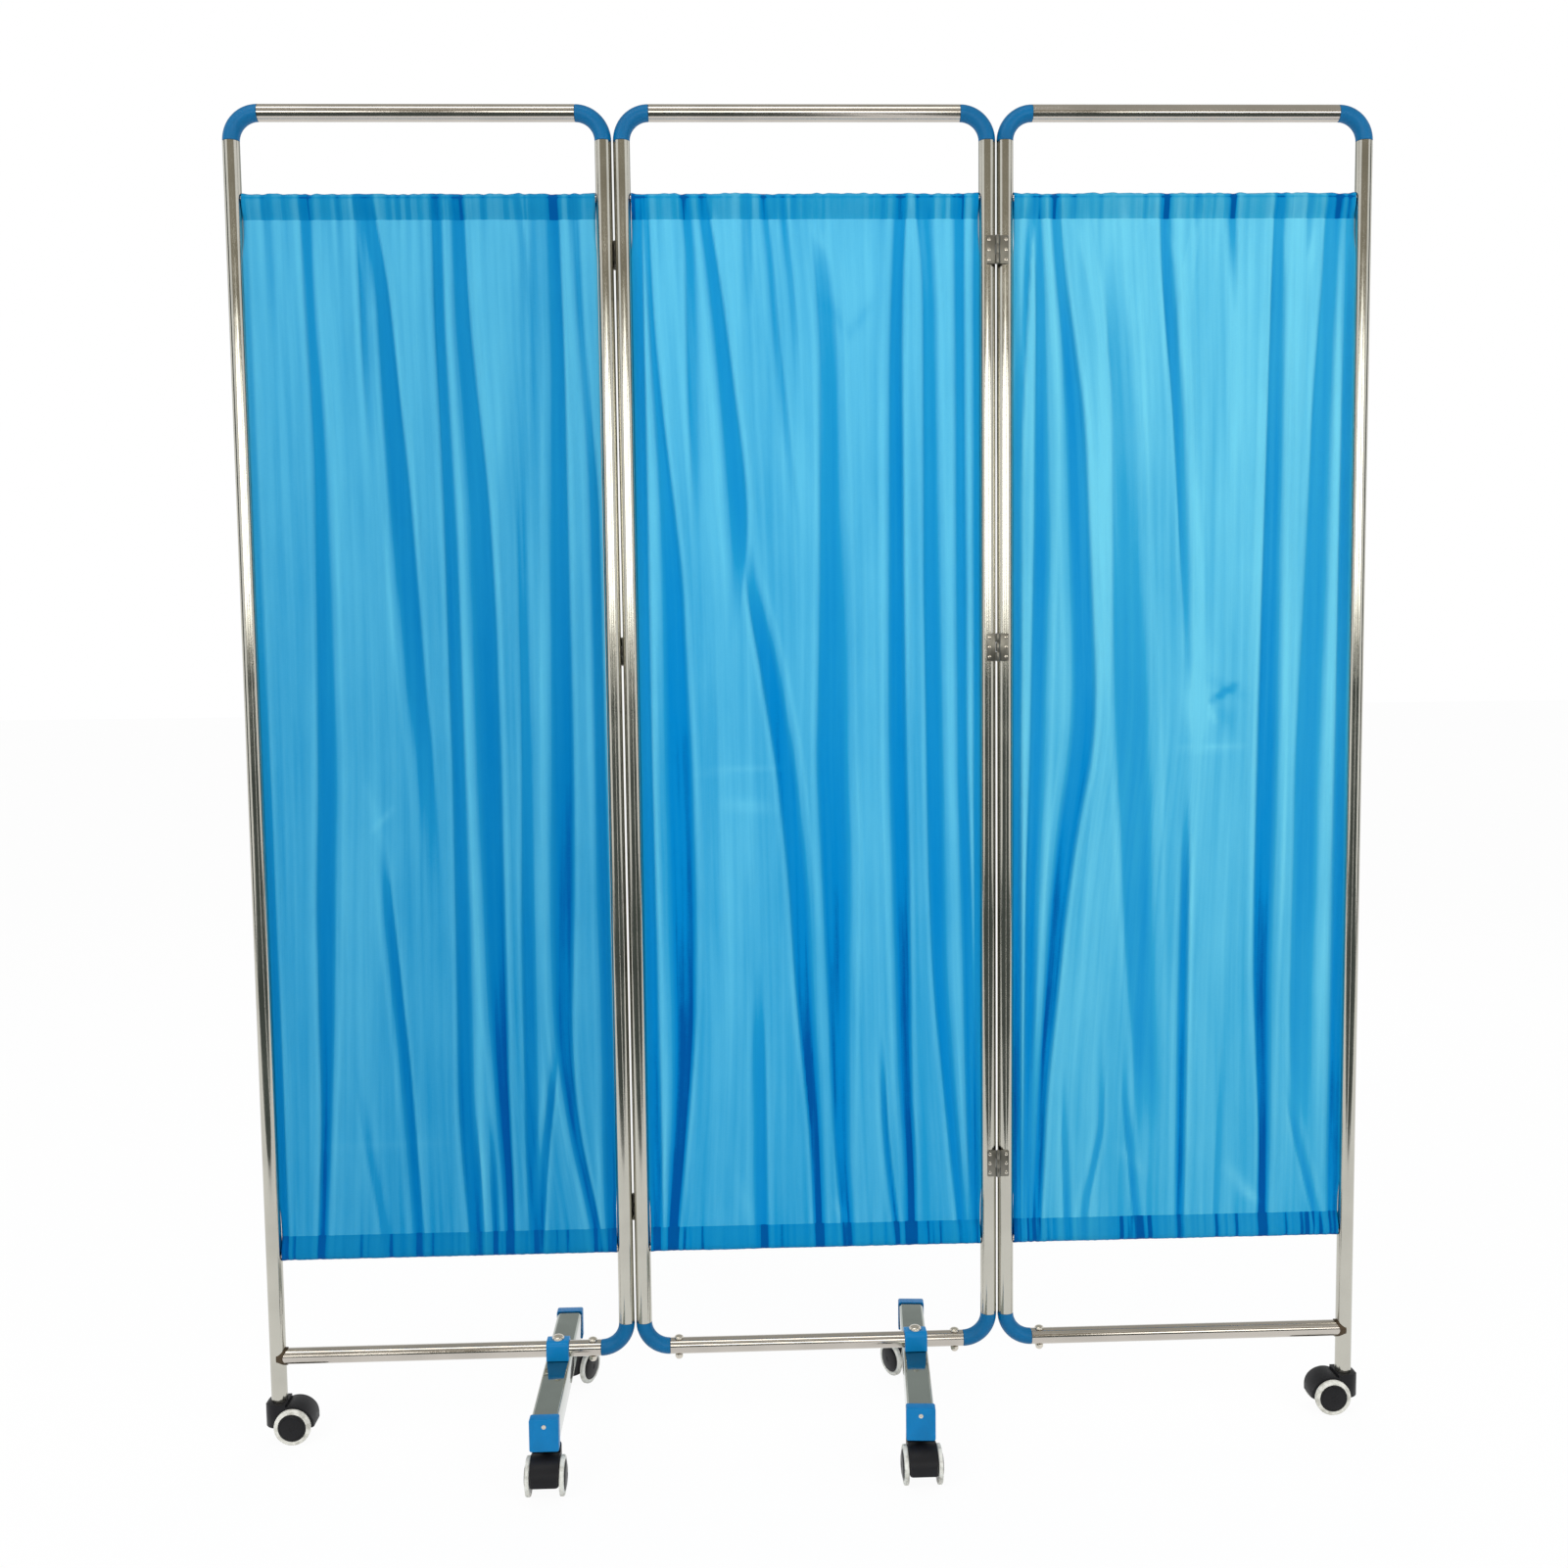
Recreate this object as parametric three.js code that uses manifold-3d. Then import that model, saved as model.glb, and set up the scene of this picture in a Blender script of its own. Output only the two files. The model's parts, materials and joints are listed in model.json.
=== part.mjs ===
// Three-panel folding ward screen on twin-wheel casters.
// Millimetres, +Z up, +X to the viewer's right, +Y away from the viewer.
// The origin is on the floor under the middle of the bounding box.
import * as THREE from "three";
import { mergeVertices } from "three/addons/utils/BufferGeometryUtils.js";
import Module from "manifold-3d";

const wasm = await Module();
wasm.setup();

// Clearances
const fitGap = 0.3;
const runningGap = 0.5;
const cutOverrun = 2;
const joinOverlap = 0.5;

// Frames
const height = 1800;
const tubeDiameter = 22;
const tubeWall = 1;
const postSpacing = 483;
const seamGap = 2;
const elbowBend = 36;
const spigotLength = 28;

// Bolts that hold the bottom elbows' spigots in the rails
const railBolt = { diameter: 6, inset: 12, head: 13, headHeight: 4.5, nut: 12, nutHeight: 8 };

// Hinges: the leaf runs past its post's axis, and each row is placed from the top or the rail
const hinge = { height: 37, pastAxis: 3, thickness: 1.5, barrel: 6, pin: 3, knuckleGap: 0.4 };
const hingePivotProud = 0.4;
const hingeDrops = { top: 190, middle: 715 };
const lowHingeLifts = { front: 254, rear: 196 };

// Curtains: a rod pocket along the top and a hem along the bottom
const curtainDrop = 113;
const curtainLift = 136;
const curtainSideGap = 1.2;
const clothThickness = 2;
const hemDepth = 34;
const rodDiameter = 9;
const pocketEdge = 2.5;
const pocketWall = 1.9;
const rodInPost = 4;
const foldDepth = 5.5;
const secondFoldDepth = 2;
const foldCount = 6;
const secondFoldCount = 9;
const foldFanShare = 0.05;
const foldPhases = { left: 0, middle: 2, right: 4 };

// Casters
const wheel = { diameter: 50, tread: 6, hub: 39, hubProud: 2.6, hubEdge: 3, axle: 8 };
const caster = { offset: 22, inset: 34, stem: 10, stemInFoot: 14, collar: 18, bushLength: 30 };
const hood = {
  width: 37,
  rise: 1.5,
  bottom: 22,
  fenderGap: 3,
  edge: 5,
  neckWall: 1,
  heel: 3,
  axleBoss: 15,
};
const collarHeight = 9.5;

// Feet
const foot = { width: 35, depth: 40, wall: 1.5, corner: 4, frontReach: 183, rearReach: 167 };
const footBolt = { diameter: 8, head: 17, headHeight: 6, nut: 14, nutHeight: 6.5 };
const leftFootInset = 96;
const middleFootInset = 103.5;
const middleFootTwist = THREE.MathUtils.degToRad(-4.5);
const cap = { face: 3, lip: 12, wall: 1.2 };
const saddle = { width: 31, wall: 2.7, topWall: 3.2, corner: 8, lift: 2 };

// Rest headings: the way each wheel pair trails from its stem
const forward = THREE.MathUtils.degToRad(-90);
const headings = {
  leftEnd: 0,
  rightEnd: Math.PI,
  leftFootRear: THREE.MathUtils.degToRad(64),
  middleFootRear: THREE.MathUtils.degToRad(120),
};

// Facets
const tubeSides = 12;
const smallSides = 8;
const nutSides = 6;
const wheelSides = 20;
const hoodSides = 8;
const cornerSides = 2;
const bendSteps = 5;
const clothColumns = 30;

// Sizes worked out from the ones above
const tubeRadius = tubeDiameter / 2;
const boreRadius = tubeRadius - tubeWall;
const halfSpacing = postSpacing / 2;
const seamSpacing = tubeDiameter + seamGap;
const panelPitch = postSpacing + seamSpacing;
const wheelRadius = wheel.diameter / 2;
const fenderRadius = wheelRadius + hood.fenderGap;
const hoodTop = wheelRadius + fenderRadius + hood.rise;
const footBottom = hoodTop + collarHeight;
const footTop = footBottom + foot.depth;
const railHeight = footTop + saddle.lift + tubeRadius;
const topBarHeight = height - tubeRadius;
const curtainTop = height - curtainDrop;
const curtainBottom = railHeight + curtainLift;
const rodRadius = rodDiameter / 2;
const rodBelowEdge = rodRadius + pocketEdge;
const rodHeight = curtainTop - rodBelowEdge;
const lowRodHeight = curtainBottom + rodBelowEdge;
const hingePivotY = tubeRadius + fitGap + hinge.thickness + hingePivotProud;
const hingeReach = seamSpacing / 2 + hinge.pastAxis;
const capWidth = foot.width + 2 * (fitGap + cap.wall);
const capDepth = foot.depth + 2 * (fitGap + cap.wall);
const leftFootX = halfSpacing - leftFootInset;
const middleFootX = halfSpacing - middleFootInset;
const frontStemY = caster.inset - foot.frontReach;
const rearStemY = foot.rearReach - caster.inset;

// The panels' plane lies so far behind the origin that the front and rear extents are alike
const frontExtent = Math.max(foot.frontReach, caster.offset + fenderRadius - frontStemY);
const wheelEdge = caster.offset + wheelRadius;
const treadOuter = hood.width / 2 + runningGap + wheel.tread;
const wheelsBehindStem = (heading) =>
  wheelEdge * Math.sin(heading) + treadOuter * Math.abs(Math.cos(heading));
const rearExtent = Math.max(
  foot.rearReach,
  rearStemY + wheelsBehindStem(headings.leftFootRear),
  Math.cos(middleFootTwist) * rearStemY + wheelsBehindStem(headings.middleFootRear),
);
const panelPlaneY = (frontExtent - rearExtent) / 2;

// Finishes
const finish = (color, roughness, metalness) =>
  new THREE.MeshStandardMaterial({ color, roughness, metalness, flatShading: true });
const polishedSteel = finish(0xc4c1b8, 0.22, 1);
const bluePlastic = finish(0x1474b4, 0.42, 0);
const blackPlastic = finish(0x232326, 0.5, 0);
const creamTread = finish(0xe9e8dc, 0.6, 0);
const blueCloth = finish(0x2f9ad8, 0.62, 0);

// A closed three.js geometry as a solid that can be joined and cut
function solid(geometry) {
  const bare = geometry.index ? geometry.toNonIndexed() : geometry.clone();
  bare.deleteAttribute("normal");
  bare.deleteAttribute("uv");
  const merged = mergeVertices(bare);
  return new wasm.Manifold(
    new wasm.Mesh({
      numProp: 3,
      vertProperties: new Float32Array(merged.attributes.position.array),
      triVerts: new Uint32Array(merged.index.array),
    }),
  );
}

// A named mesh of a solid, with flat faces
function part(name, body, material) {
  const mesh = body.getMesh();
  const indexed = new THREE.BufferGeometry()
    .setAttribute("position", new THREE.BufferAttribute(mesh.vertProperties, 3))
    .setIndex(new THREE.BufferAttribute(mesh.triVerts, 1));
  const flat = indexed.toNonIndexed();
  flat.computeVertexNormals();
  const made = new THREE.Mesh(flat, material);
  made.name = name;
  return made;
}

function placed(x, y, turn, ...children) {
  const holder = new THREE.Group();
  holder.position.set(x, y, 0);
  holder.rotation.z = turn;
  return holder.add(...children);
}

// Outlines
function circle(radius) {
  return new THREE.Shape().absarc(0, 0, radius, 0, 2 * Math.PI);
}

function roundedRectangle(width, depth, corner) {
  const x = width / 2 - corner;
  const y = depth / 2 - corner;
  return new THREE.Shape()
    .absarc(x, y, corner, 0, Math.PI / 2)
    .absarc(-x, y, corner, Math.PI / 2, Math.PI)
    .absarc(-x, -y, corner, Math.PI, 1.5 * Math.PI)
    .absarc(x, -y, corner, 1.5 * Math.PI, 2 * Math.PI);
}

// Prisms: an outline run up Z, along X or along Y between two places.
// Each arc of the outline gets as many facets as sides says, twice its curve segments.
function upright(shape, from, to, sides) {
  const options = { depth: to - from, bevelEnabled: false, curveSegments: sides / 2 };
  return solid(new THREE.ExtrudeGeometry(shape, options)).translate([0, 0, from]);
}

function alongX(shape, from, to, sides) {
  return upright(shape, from, to, sides).rotate([90, 0, 90]);
}

function alongY(shape, from, to, sides) {
  return upright(shape, -to, -from, sides).rotate([90, 0, 0]);
}

function tube(run, from, to) {
  const bore = run(circle(boreRadius), from - cutOverrun, to + cutOverrun, tubeSides);
  return run(circle(tubeRadius), from, to, tubeSides).subtract(bore);
}

// A bolt head or wheel part: a profile of radius and height pairs turned about Z
function turned(profile, sides) {
  const points = profile.map(([radius, z]) => new THREE.Vector2(radius, z));
  return solid(new THREE.LatheGeometry(points, sides)).rotate([90, 0, 0]);
}

function domeHead(diameter, domeHeight, z) {
  const sideShare = 0.45;
  const shoulderShare = 0.8;
  const radius = diameter / 2;
  const profile = [
    [0, -joinOverlap],
    [radius, -joinOverlap],
    [radius, domeHeight * sideShare],
    [radius * shoulderShare, domeHeight * shoulderShare],
    [0, domeHeight],
  ];
  return turned(profile, smallSides).translate([0, 0, z]);
}

function hexNut(diameter, from, to) {
  return upright(circle(diameter / 2), from, to, nutSides);
}

// Elbow: a quarter bend flush with the tubes, with a spigot for each of them.
// The tube axes meet at its corner, the origin; the legs run along +X and -Z before the turn.
class QuarterBend extends THREE.Curve {
  getPoint(t, target = new THREE.Vector3()) {
    const angle = (t * Math.PI) / 2;
    return target.set(elbowBend * (1 - Math.cos(angle)), 0, elbowBend * (Math.sin(angle) - 1));
  }
}

function elbow(turn, boltSide) {
  const path = { steps: bendSteps, extrudePath: new QuarterBend() };
  const options = { ...path, curveSegments: tubeSides / 2 };
  const bend = solid(new THREE.ExtrudeGeometry(circle(tubeRadius), options));
  const near = elbowBend - joinOverlap;
  const far = elbowBend + spigotLength;
  const spigot = circle(boreRadius - fitGap);
  const whole = bend
    .add(alongX(spigot, near, far, tubeSides))
    .add(upright(spigot, -far, -near, tubeSides))
    .rotate([0, turn, 0]);
  if (!boltSide) return whole;
  const hole = circle(railBolt.diameter / 2 + runningGap);
  const x = boltSide * (elbowBend + railBolt.inset);
  return whole.subtract(
    upright(hole, -tubeDiameter, tubeDiameter, smallSides).translate([x, 0, 0]),
  );
}

// The turn about Y that brings an elbow to each corner of a panel
const cornerTurns = { topLeft: 0, topRight: 90, bottomRight: 180, bottomLeft: 270 };

function elbowAt(name, corner) {
  const left = corner.endsWith("Left");
  const bottom = corner.startsWith("bottom");
  const side = left ? 1 : -1;
  const mesh = part(name, elbow(cornerTurns[corner], bottom ? side : 0), bluePlastic);
  mesh.position.set(-side * halfSpacing, 0, bottom ? railHeight : topBarHeight);
  return mesh;
}

// Post: side is -1 at the panel's left and 1 at its right. Rod holes face the panel's middle.
function post(name, side, bottom) {
  const top = topBarHeight - elbowBend - fitGap;
  let body = tube(upright, bottom, top);
  for (const z of [rodHeight, lowRodHeight]) {
    const hole = alongX(circle(rodRadius + fitGap), 0, tubeDiameter, smallSides);
    body = body.subtract(hole.rotate([0, 0, side > 0 ? 180 : 0]).translate([0, 0, z]));
  }
  const mesh = part(name, body, polishedSteel);
  mesh.position.x = side * halfSpacing;
  return mesh;
}

function seamPost(name, side) {
  return post(name, side, railHeight + elbowBend + fitGap);
}

function endPost(name, side) {
  return post(name, side, hoodTop + fitGap);
}

function topBar(name) {
  const reach = halfSpacing - elbowBend - fitGap;
  const mesh = part(name, tube(alongX, -reach, reach), polishedSteel);
  mesh.position.z = topBarHeight;
  return mesh;
}

// Through bolt of a rail, in the rail's own frame: dome head above, nut below
function railBoltAt(x) {
  const nutBottom = -tubeRadius - railBolt.nutHeight;
  return upright(circle(railBolt.diameter / 2), nutBottom, tubeRadius, smallSides)
    .add(domeHead(railBolt.head, railBolt.headHeight, tubeRadius))
    .add(hexNut(railBolt.nut, nutBottom, joinOverlap - tubeRadius))
    .translate([x, 0, 0]);
}

// Rail: ends are "elbow", where a through bolt holds the spigot, or "post", coped to a post
function rail(name, ends, footX) {
  const reach = { elbow: halfSpacing - elbowBend - fitGap, post: halfSpacing };
  let body = tube(alongX, -reach[ends[0]], reach[ends[1]]);
  ends.forEach((end, i) => {
    const side = 2 * i - 1;
    const coping = upright(circle(tubeRadius + fitGap), -tubeDiameter, tubeDiameter, tubeSides);
    body =
      end === "post"
        ? body.subtract(coping.translate([side * halfSpacing, 0, 0]))
        : body.add(railBoltAt(side * (halfSpacing - elbowBend - railBolt.inset)));
  });
  if (footX !== null) {
    const hole = circle(footBolt.diameter / 2 + runningGap);
    const cut = upright(hole, -tubeDiameter, tubeDiameter, smallSides);
    body = body.subtract(cut.translate([footX, 0, 0]));
  }
  const mesh = part(name, body, polishedSteel);
  mesh.position.z = railHeight;
  return mesh;
}

// Curtain: a hanging sheet, from the top of its rod pocket to the bottom of its hem.
// Each level has a height, half the thickness there and its share of the folds' depth.
function curtainLevels() {
  const pocket = rodRadius + fitGap + pocketWall;
  const cloth = clothThickness / 2;
  const fullTop = curtainTop - hemDepth;
  const fullBottom = curtainBottom + hemDepth;
  const edgeShare = 0.65;
  const looseShare = 0.6;
  const hemShare = 0.3;
  const bodyShares = [0.1, 0.3, 0.55, 0.8];
  return [
    [curtainTop, pocket * edgeShare, 0],
    [rodHeight, pocket, 0],
    [rodHeight - rodBelowEdge, pocket * edgeShare, 0],
    [fullTop, cloth, looseShare],
    ...bodyShares.map((share) => [fullTop + (fullBottom - fullTop) * share, cloth, 1]),
    [fullBottom, cloth, looseShare],
    [lowRodHeight + rodBelowEdge, pocket * edgeShare, hemShare],
    [lowRodHeight, pocket, hemShare],
    [curtainBottom, pocket * edgeShare, hemShare],
  ];
}

function foldOffset(acrossShare, downShare, phase) {
  const fan = foldFanShare * Math.sin(2 * Math.PI * acrossShare + phase) * downShare;
  const main = Math.sin(2 * Math.PI * foldCount * (acrossShare + fan) + phase);
  const second = Math.sin(2 * Math.PI * secondFoldCount * (acrossShare - fan) + 2 * phase);
  return foldDepth * main + secondFoldDepth * second;
}

function curtain(name, phase) {
  const levels = curtainLevels();
  const halfWidth = halfSpacing - tubeRadius - curtainSideGap;
  const rows = levels.length - 1;
  const sheet = new THREE.BoxGeometry(1, 1, 1, clothColumns, 1, rows);
  const places = sheet.attributes.position;
  for (let i = 0; i < places.count; i++) {
    const acrossShare = places.getX(i) + 0.5;
    const side = Math.sign(places.getY(i));
    const row = Math.round((0.5 - places.getZ(i)) * rows);
    const [z, half, foldShare] = levels[row];
    const downShare = (curtainTop - z) / (curtainTop - curtainBottom);
    const middle = foldShare * foldOffset(acrossShare, downShare, phase);
    places.setXYZ(i, (2 * acrossShare - 1) * halfWidth, middle + side * half, z);
  }
  const boreReach = halfWidth + cutOverrun;
  const pocketBore = alongX(circle(rodRadius + fitGap), -boreReach, boreReach, smallSides);
  return part(name, solid(sheet).subtract(pocketBore.translate([0, 0, rodHeight])), blueCloth);
}

function curtainRod(name) {
  const reach = halfSpacing - tubeRadius + rodInPost;
  const mesh = part(name, alongX(circle(rodRadius), -reach, reach, smallSides), polishedSteel);
  mesh.position.z = rodHeight;
  return mesh;
}

// Hinge leaf on the post at +X of a seam, hinge at the front. Its base is at z = 0.
// The pinned leaf has the middle knuckle and the pin, the other one the two outer knuckles.
function hingeLeaf(pinned) {
  const plateMiddleY = -tubeRadius - fitGap - hinge.thickness / 2;
  const knuckles = 3;
  const knuckleHeight = (hinge.height - (knuckles - 1) * hinge.knuckleGap) / knuckles;
  const middle = [knuckleHeight + hinge.knuckleGap, 2 * knuckleHeight + hinge.knuckleGap];
  const outer = [[0, knuckleHeight], [hinge.height - knuckleHeight, hinge.height]];
  const plate = (from, to, x) => {
    const strip = new THREE.BoxGeometry(hingeReach - x, hinge.thickness, to - from);
    return solid(strip).translate([(hingeReach + x) / 2, plateMiddleY, (from + to) / 2]);
  };
  const atPivot = (radius, from, to) =>
    upright(circle(radius), from, to, smallSides).translate([0, -hingePivotY, 0]);
  let leaf = plate(0, hinge.height, hinge.barrel / 2 + hinge.knuckleGap);
  for (const [from, to] of pinned ? [middle] : outer) {
    leaf = leaf.add(atPivot(hinge.barrel / 2, from, to)).add(plate(from, to, 0));
  }
  if (pinned) return leaf.add(atPivot(hinge.pin / 2, 0, hinge.height));
  const bore = hinge.pin / 2 + hinge.knuckleGap;
  return leaf.subtract(atPivot(bore, -cutOverrun, hinge.height + cutOverrun));
}

// The leaf at the seam's other post is the same shape turned over, end for end
function hingeLeafAt(name, pinned, turnedOver, z) {
  const body = turnedOver
    ? hingeLeaf(pinned).rotate([0, 180, 0]).translate([0, 0, hinge.height])
    : hingeLeaf(pinned);
  const mesh = part(name, body, polishedSteel);
  mesh.position.z = z - hinge.height / 2;
  return mesh;
}

// One side's three leaves of a seam. The rear seam's hinges are turned to face the back.
function hingeRow(seam, side, pinned) {
  const rear = seam === "rear";
  const levels = {
    top: height - hingeDrops.top,
    middle: height - hingeDrops.middle,
    bottom: railHeight + lowHingeLifts[seam],
  };
  const leaves = Object.entries(levels).map(([level, z]) =>
    hingeLeafAt(`${seam}_hinge_${level}_${side}_leaf`, pinned, rear !== (side === "left"), z),
  );
  const x = (rear ? -1 : 1) * (panelPitch / 2);
  return placed(x, 0, rear ? Math.PI : 0, ...leaves);
}

// Foot: a box tube across the panel, with a cap over each end, held by a saddle and one bolt
function footTube(name) {
  const { width, depth, wall, corner } = foot;
  const from = cap.face + fitGap - foot.frontReach;
  const to = foot.rearReach - cap.face - fitGap;
  const inside = roundedRectangle(width - 2 * wall, depth - 2 * wall, corner - wall);
  let body = alongY(roundedRectangle(width, depth, corner), from, to, cornerSides).subtract(
    alongY(inside, from - cutOverrun, to + cutOverrun, cornerSides),
  );
  const boltHole = upright(circle(footBolt.diameter / 2 + runningGap), 0, depth, smallSides);
  body = body.subtract(boltHole);
  for (const y of [frontStemY, rearStemY]) {
    const stemHole = upright(circle(caster.stem / 2 + runningGap), -depth, 0, smallSides);
    body = body.subtract(stemHole.translate([0, y, 0]));
  }
  const mesh = part(name, body, polishedSteel);
  mesh.position.z = footTop - depth / 2;
  return mesh;
}

function footCap(name, reach, turn) {
  const { width, depth, corner } = foot;
  const outside = roundedRectangle(capWidth, capDepth, corner + fitGap + cap.wall);
  const inside = roundedRectangle(width + 2 * fitGap, depth + 2 * fitGap, corner + fitGap);
  const back = -reach + cap.face + cap.lip;
  const body = alongY(outside, -reach, back, cornerSides).subtract(
    alongY(inside, cap.face - reach, back + cutOverrun, cornerSides),
  );
  const mesh = part(name, body, bluePlastic);
  mesh.position.z = footTop - depth / 2;
  return placed(0, 0, turn, mesh);
}

// Saddle: a block with a round top over the rail, and the bolt that goes down through the foot
function footSaddle(name, x) {
  const bore = tubeRadius + fitGap;
  const bottom = footTop + fitGap;
  const top = railHeight + bore + saddle.topWall;
  const side = bore + saddle.wall;
  const outline = new THREE.Shape()
    .moveTo(-side, bottom)
    .lineTo(side, bottom)
    .absarc(side - saddle.corner, top - saddle.corner, saddle.corner, 0, Math.PI / 2)
    .absarc(saddle.corner - side, top - saddle.corner, saddle.corner, Math.PI / 2, Math.PI);
  const half = saddle.width / 2;
  const boreReach = half + cutOverrun;
  const railBore = alongX(circle(bore), -boreReach, boreReach, tubeSides);
  const underWall = footTop - foot.wall - fitGap;
  const nutBottom = underWall - footBolt.nutHeight;
  const body = alongX(outline, -half, half, cornerSides)
    .subtract(railBore.translate([0, 0, railHeight]))
    .add(upright(circle(footBolt.diameter / 2), nutBottom, top, smallSides))
    .add(domeHead(footBolt.head, footBolt.headHeight, top))
    .add(hexNut(footBolt.nut, nutBottom, underWall));
  const mesh = part(name, body, bluePlastic);
  mesh.position.x = x;
  return mesh;
}

// Caster hood: a block between the two wheels, with the stem it swivels on and, under the
// fender, the boss that holds the axle.
// The stem is on the local Z axis and the wheels trail towards +X.
function hoodBlock() {
  const { bottom, width, heel, edge } = hood;
  const back = width / 2;
  const neck = tubeRadius + hood.neckWall;
  const endAngle = Math.asin((bottom - wheelRadius) / fenderRadius);
  const neckAngle = Math.acos((neck - caster.offset) / fenderRadius);
  const side = new THREE.Shape()
    .moveTo(heel - back, bottom)
    .absarc(caster.offset, wheelRadius, fenderRadius, endAngle, neckAngle)
    .lineTo(neck, hoodTop)
    .lineTo(edge - back, hoodTop)
    .quadraticCurveTo(-back, hoodTop, -back, hoodTop - edge)
    .lineTo(-back, bottom + heel)
    .quadraticCurveTo(-back, bottom, heel - back, bottom);
  const far = caster.offset + fenderRadius;
  const plan = new THREE.Shape()
    .absarc(0, 0, back, Math.PI / 2, 1.5 * Math.PI)
    .absarc(far - edge, edge - back, edge, 1.5 * Math.PI, 2 * Math.PI)
    .absarc(far - edge, back - edge, edge, 0, Math.PI / 2);
  const boss = alongY(circle(hood.axleBoss / 2), -back, back, tubeSides);
  const block = alongY(side, -back, back, hoodSides).add(
    boss.translate([caster.offset, 0, wheelRadius]),
  );
  return block.intersect(upright(plan, 0, hoodTop + cutOverrun, hoodSides));
}

function casterHood(name, inFoot) {
  const boreReach = hood.width / 2 + cutOverrun;
  const bore = circle(wheel.axle / 2 + runningGap);
  const axleBore = alongY(bore, -boreReach, boreReach, smallSides);
  const body = hoodBlock().subtract(axleBore.translate([caster.offset, 0, wheelRadius]));
  const base = hoodTop - joinOverlap;
  const stemTop = footBottom + foot.wall + caster.stemInFoot;
  const fitting = inFoot
    ? upright(circle(caster.collar / 2), base, footBottom - fitGap, smallSides).add(
        upright(circle(caster.stem / 2), base, stemTop, smallSides),
      )
    : upright(circle(boreRadius - runningGap), base, base + caster.bushLength, tubeSides);
  return part(name, body.add(fitting), blackPlastic);
}

// Wheel pair on one axle. The tread's facets lie flat on the floor at rest.
function wheelPair(name) {
  const tread = wheelRadius / Math.cos(Math.PI / wheelSides);
  const inner = hood.width / 2 + runningGap;
  const outer = inner + wheel.tread;
  const end = outer + wheel.hubProud;
  const half = [
    [wheel.axle / 2, inner],
    [tread, inner],
    [tread, outer],
    [wheel.hub / 2, outer],
    [wheel.hub / 2 - wheel.hubEdge, end],
    [0, end],
  ];
  const mirrored = half.map(([radius, y]) => [radius, -y]).reverse();
  const facetTurn = 180 / wheelSides;
  const body = turned([...mirrored, ...half], wheelSides)
    .rotate([0, 0, facetTurn])
    .rotate([90, 0, 0]);
  const mesh = part(name, body, creamTread);
  mesh.position.set(caster.offset, 0, wheelRadius);
  return mesh;
}

function casterAt(name, x, y, heading, inFoot) {
  return placed(x, y, heading, casterHood(`${name}_hood`, inFoot), wheelPair(`${name}_wheels`));
}

// A foot with its casters, turned about its bolt by its twist. The headings are the panel's own,
// so the twist is taken off them.
function footSet(name, x, twist, rearHeading) {
  return placed(
    x,
    0,
    twist,
    footTube(`${name}_tube`),
    footCap(`${name}_front_cap`, foot.frontReach, 0),
    footCap(`${name}_rear_cap`, foot.rearReach, Math.PI),
    casterAt(`${name}_front_caster`, 0, frontStemY, forward - twist, true),
    casterAt(`${name}_rear_caster`, 0, rearStemY, rearHeading - twist, true),
  );
}

// Panels
function leftPanel() {
  return placed(
    -panelPitch,
    0,
    0,
    endPost("left_end_post", -1),
    seamPost("left_seam_post", 1),
    topBar("left_top_bar"),
    rail("left_rail", ["post", "elbow"], leftFootX),
    elbowAt("left_top_outer_elbow", "topLeft"),
    elbowAt("left_top_inner_elbow", "topRight"),
    elbowAt("left_bottom_elbow", "bottomRight"),
    curtain("left_curtain", foldPhases.left),
    curtainRod("left_curtain_rod"),
    footSaddle("left_foot_saddle", leftFootX),
    footSet("left_foot", leftFootX, 0, headings.leftFootRear),
    casterAt("left_end_caster", -halfSpacing, 0, headings.leftEnd, false),
  );
}

function middlePanel() {
  return placed(
    0,
    0,
    0,
    seamPost("middle_left_post", -1),
    seamPost("middle_right_post", 1),
    topBar("middle_top_bar"),
    rail("middle_rail", ["elbow", "elbow"], middleFootX),
    elbowAt("middle_top_left_elbow", "topLeft"),
    elbowAt("middle_top_right_elbow", "topRight"),
    elbowAt("middle_bottom_left_elbow", "bottomLeft"),
    elbowAt("middle_bottom_right_elbow", "bottomRight"),
    curtain("middle_curtain", foldPhases.middle),
    curtainRod("middle_curtain_rod"),
    footSaddle("middle_foot_saddle", middleFootX),
    footSet("middle_foot", middleFootX, middleFootTwist, headings.middleFootRear),
  );
}

function rightPanel() {
  return placed(
    panelPitch,
    0,
    0,
    seamPost("right_seam_post", -1),
    endPost("right_end_post", 1),
    topBar("right_top_bar"),
    rail("right_rail", ["elbow", "post"], null),
    elbowAt("right_top_inner_elbow", "topLeft"),
    elbowAt("right_top_outer_elbow", "topRight"),
    elbowAt("right_bottom_elbow", "bottomLeft"),
    curtain("right_curtain", foldPhases.right),
    curtainRod("right_curtain_rod"),
    casterAt("right_end_caster", halfSpacing, 0, headings.rightEnd, false),
  );
}

// The seam at the right has its hinges in front and the other at the back, so it folds in a zigzag
const screen = new THREE.Group();
screen.position.y = panelPlaneY;
screen.add(
  leftPanel(),
  middlePanel(),
  rightPanel(),
  hingeRow("rear", "left", true),
  hingeRow("rear", "right", false),
  hingeRow("front", "left", false),
  hingeRow("front", "right", true),
);

export default screen;
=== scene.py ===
"""Looks of the three-panel ward screen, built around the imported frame, in metres."""

import json
import math

import bmesh
import bpy
import numpy as np
from mathutils import Matrix, Vector


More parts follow.
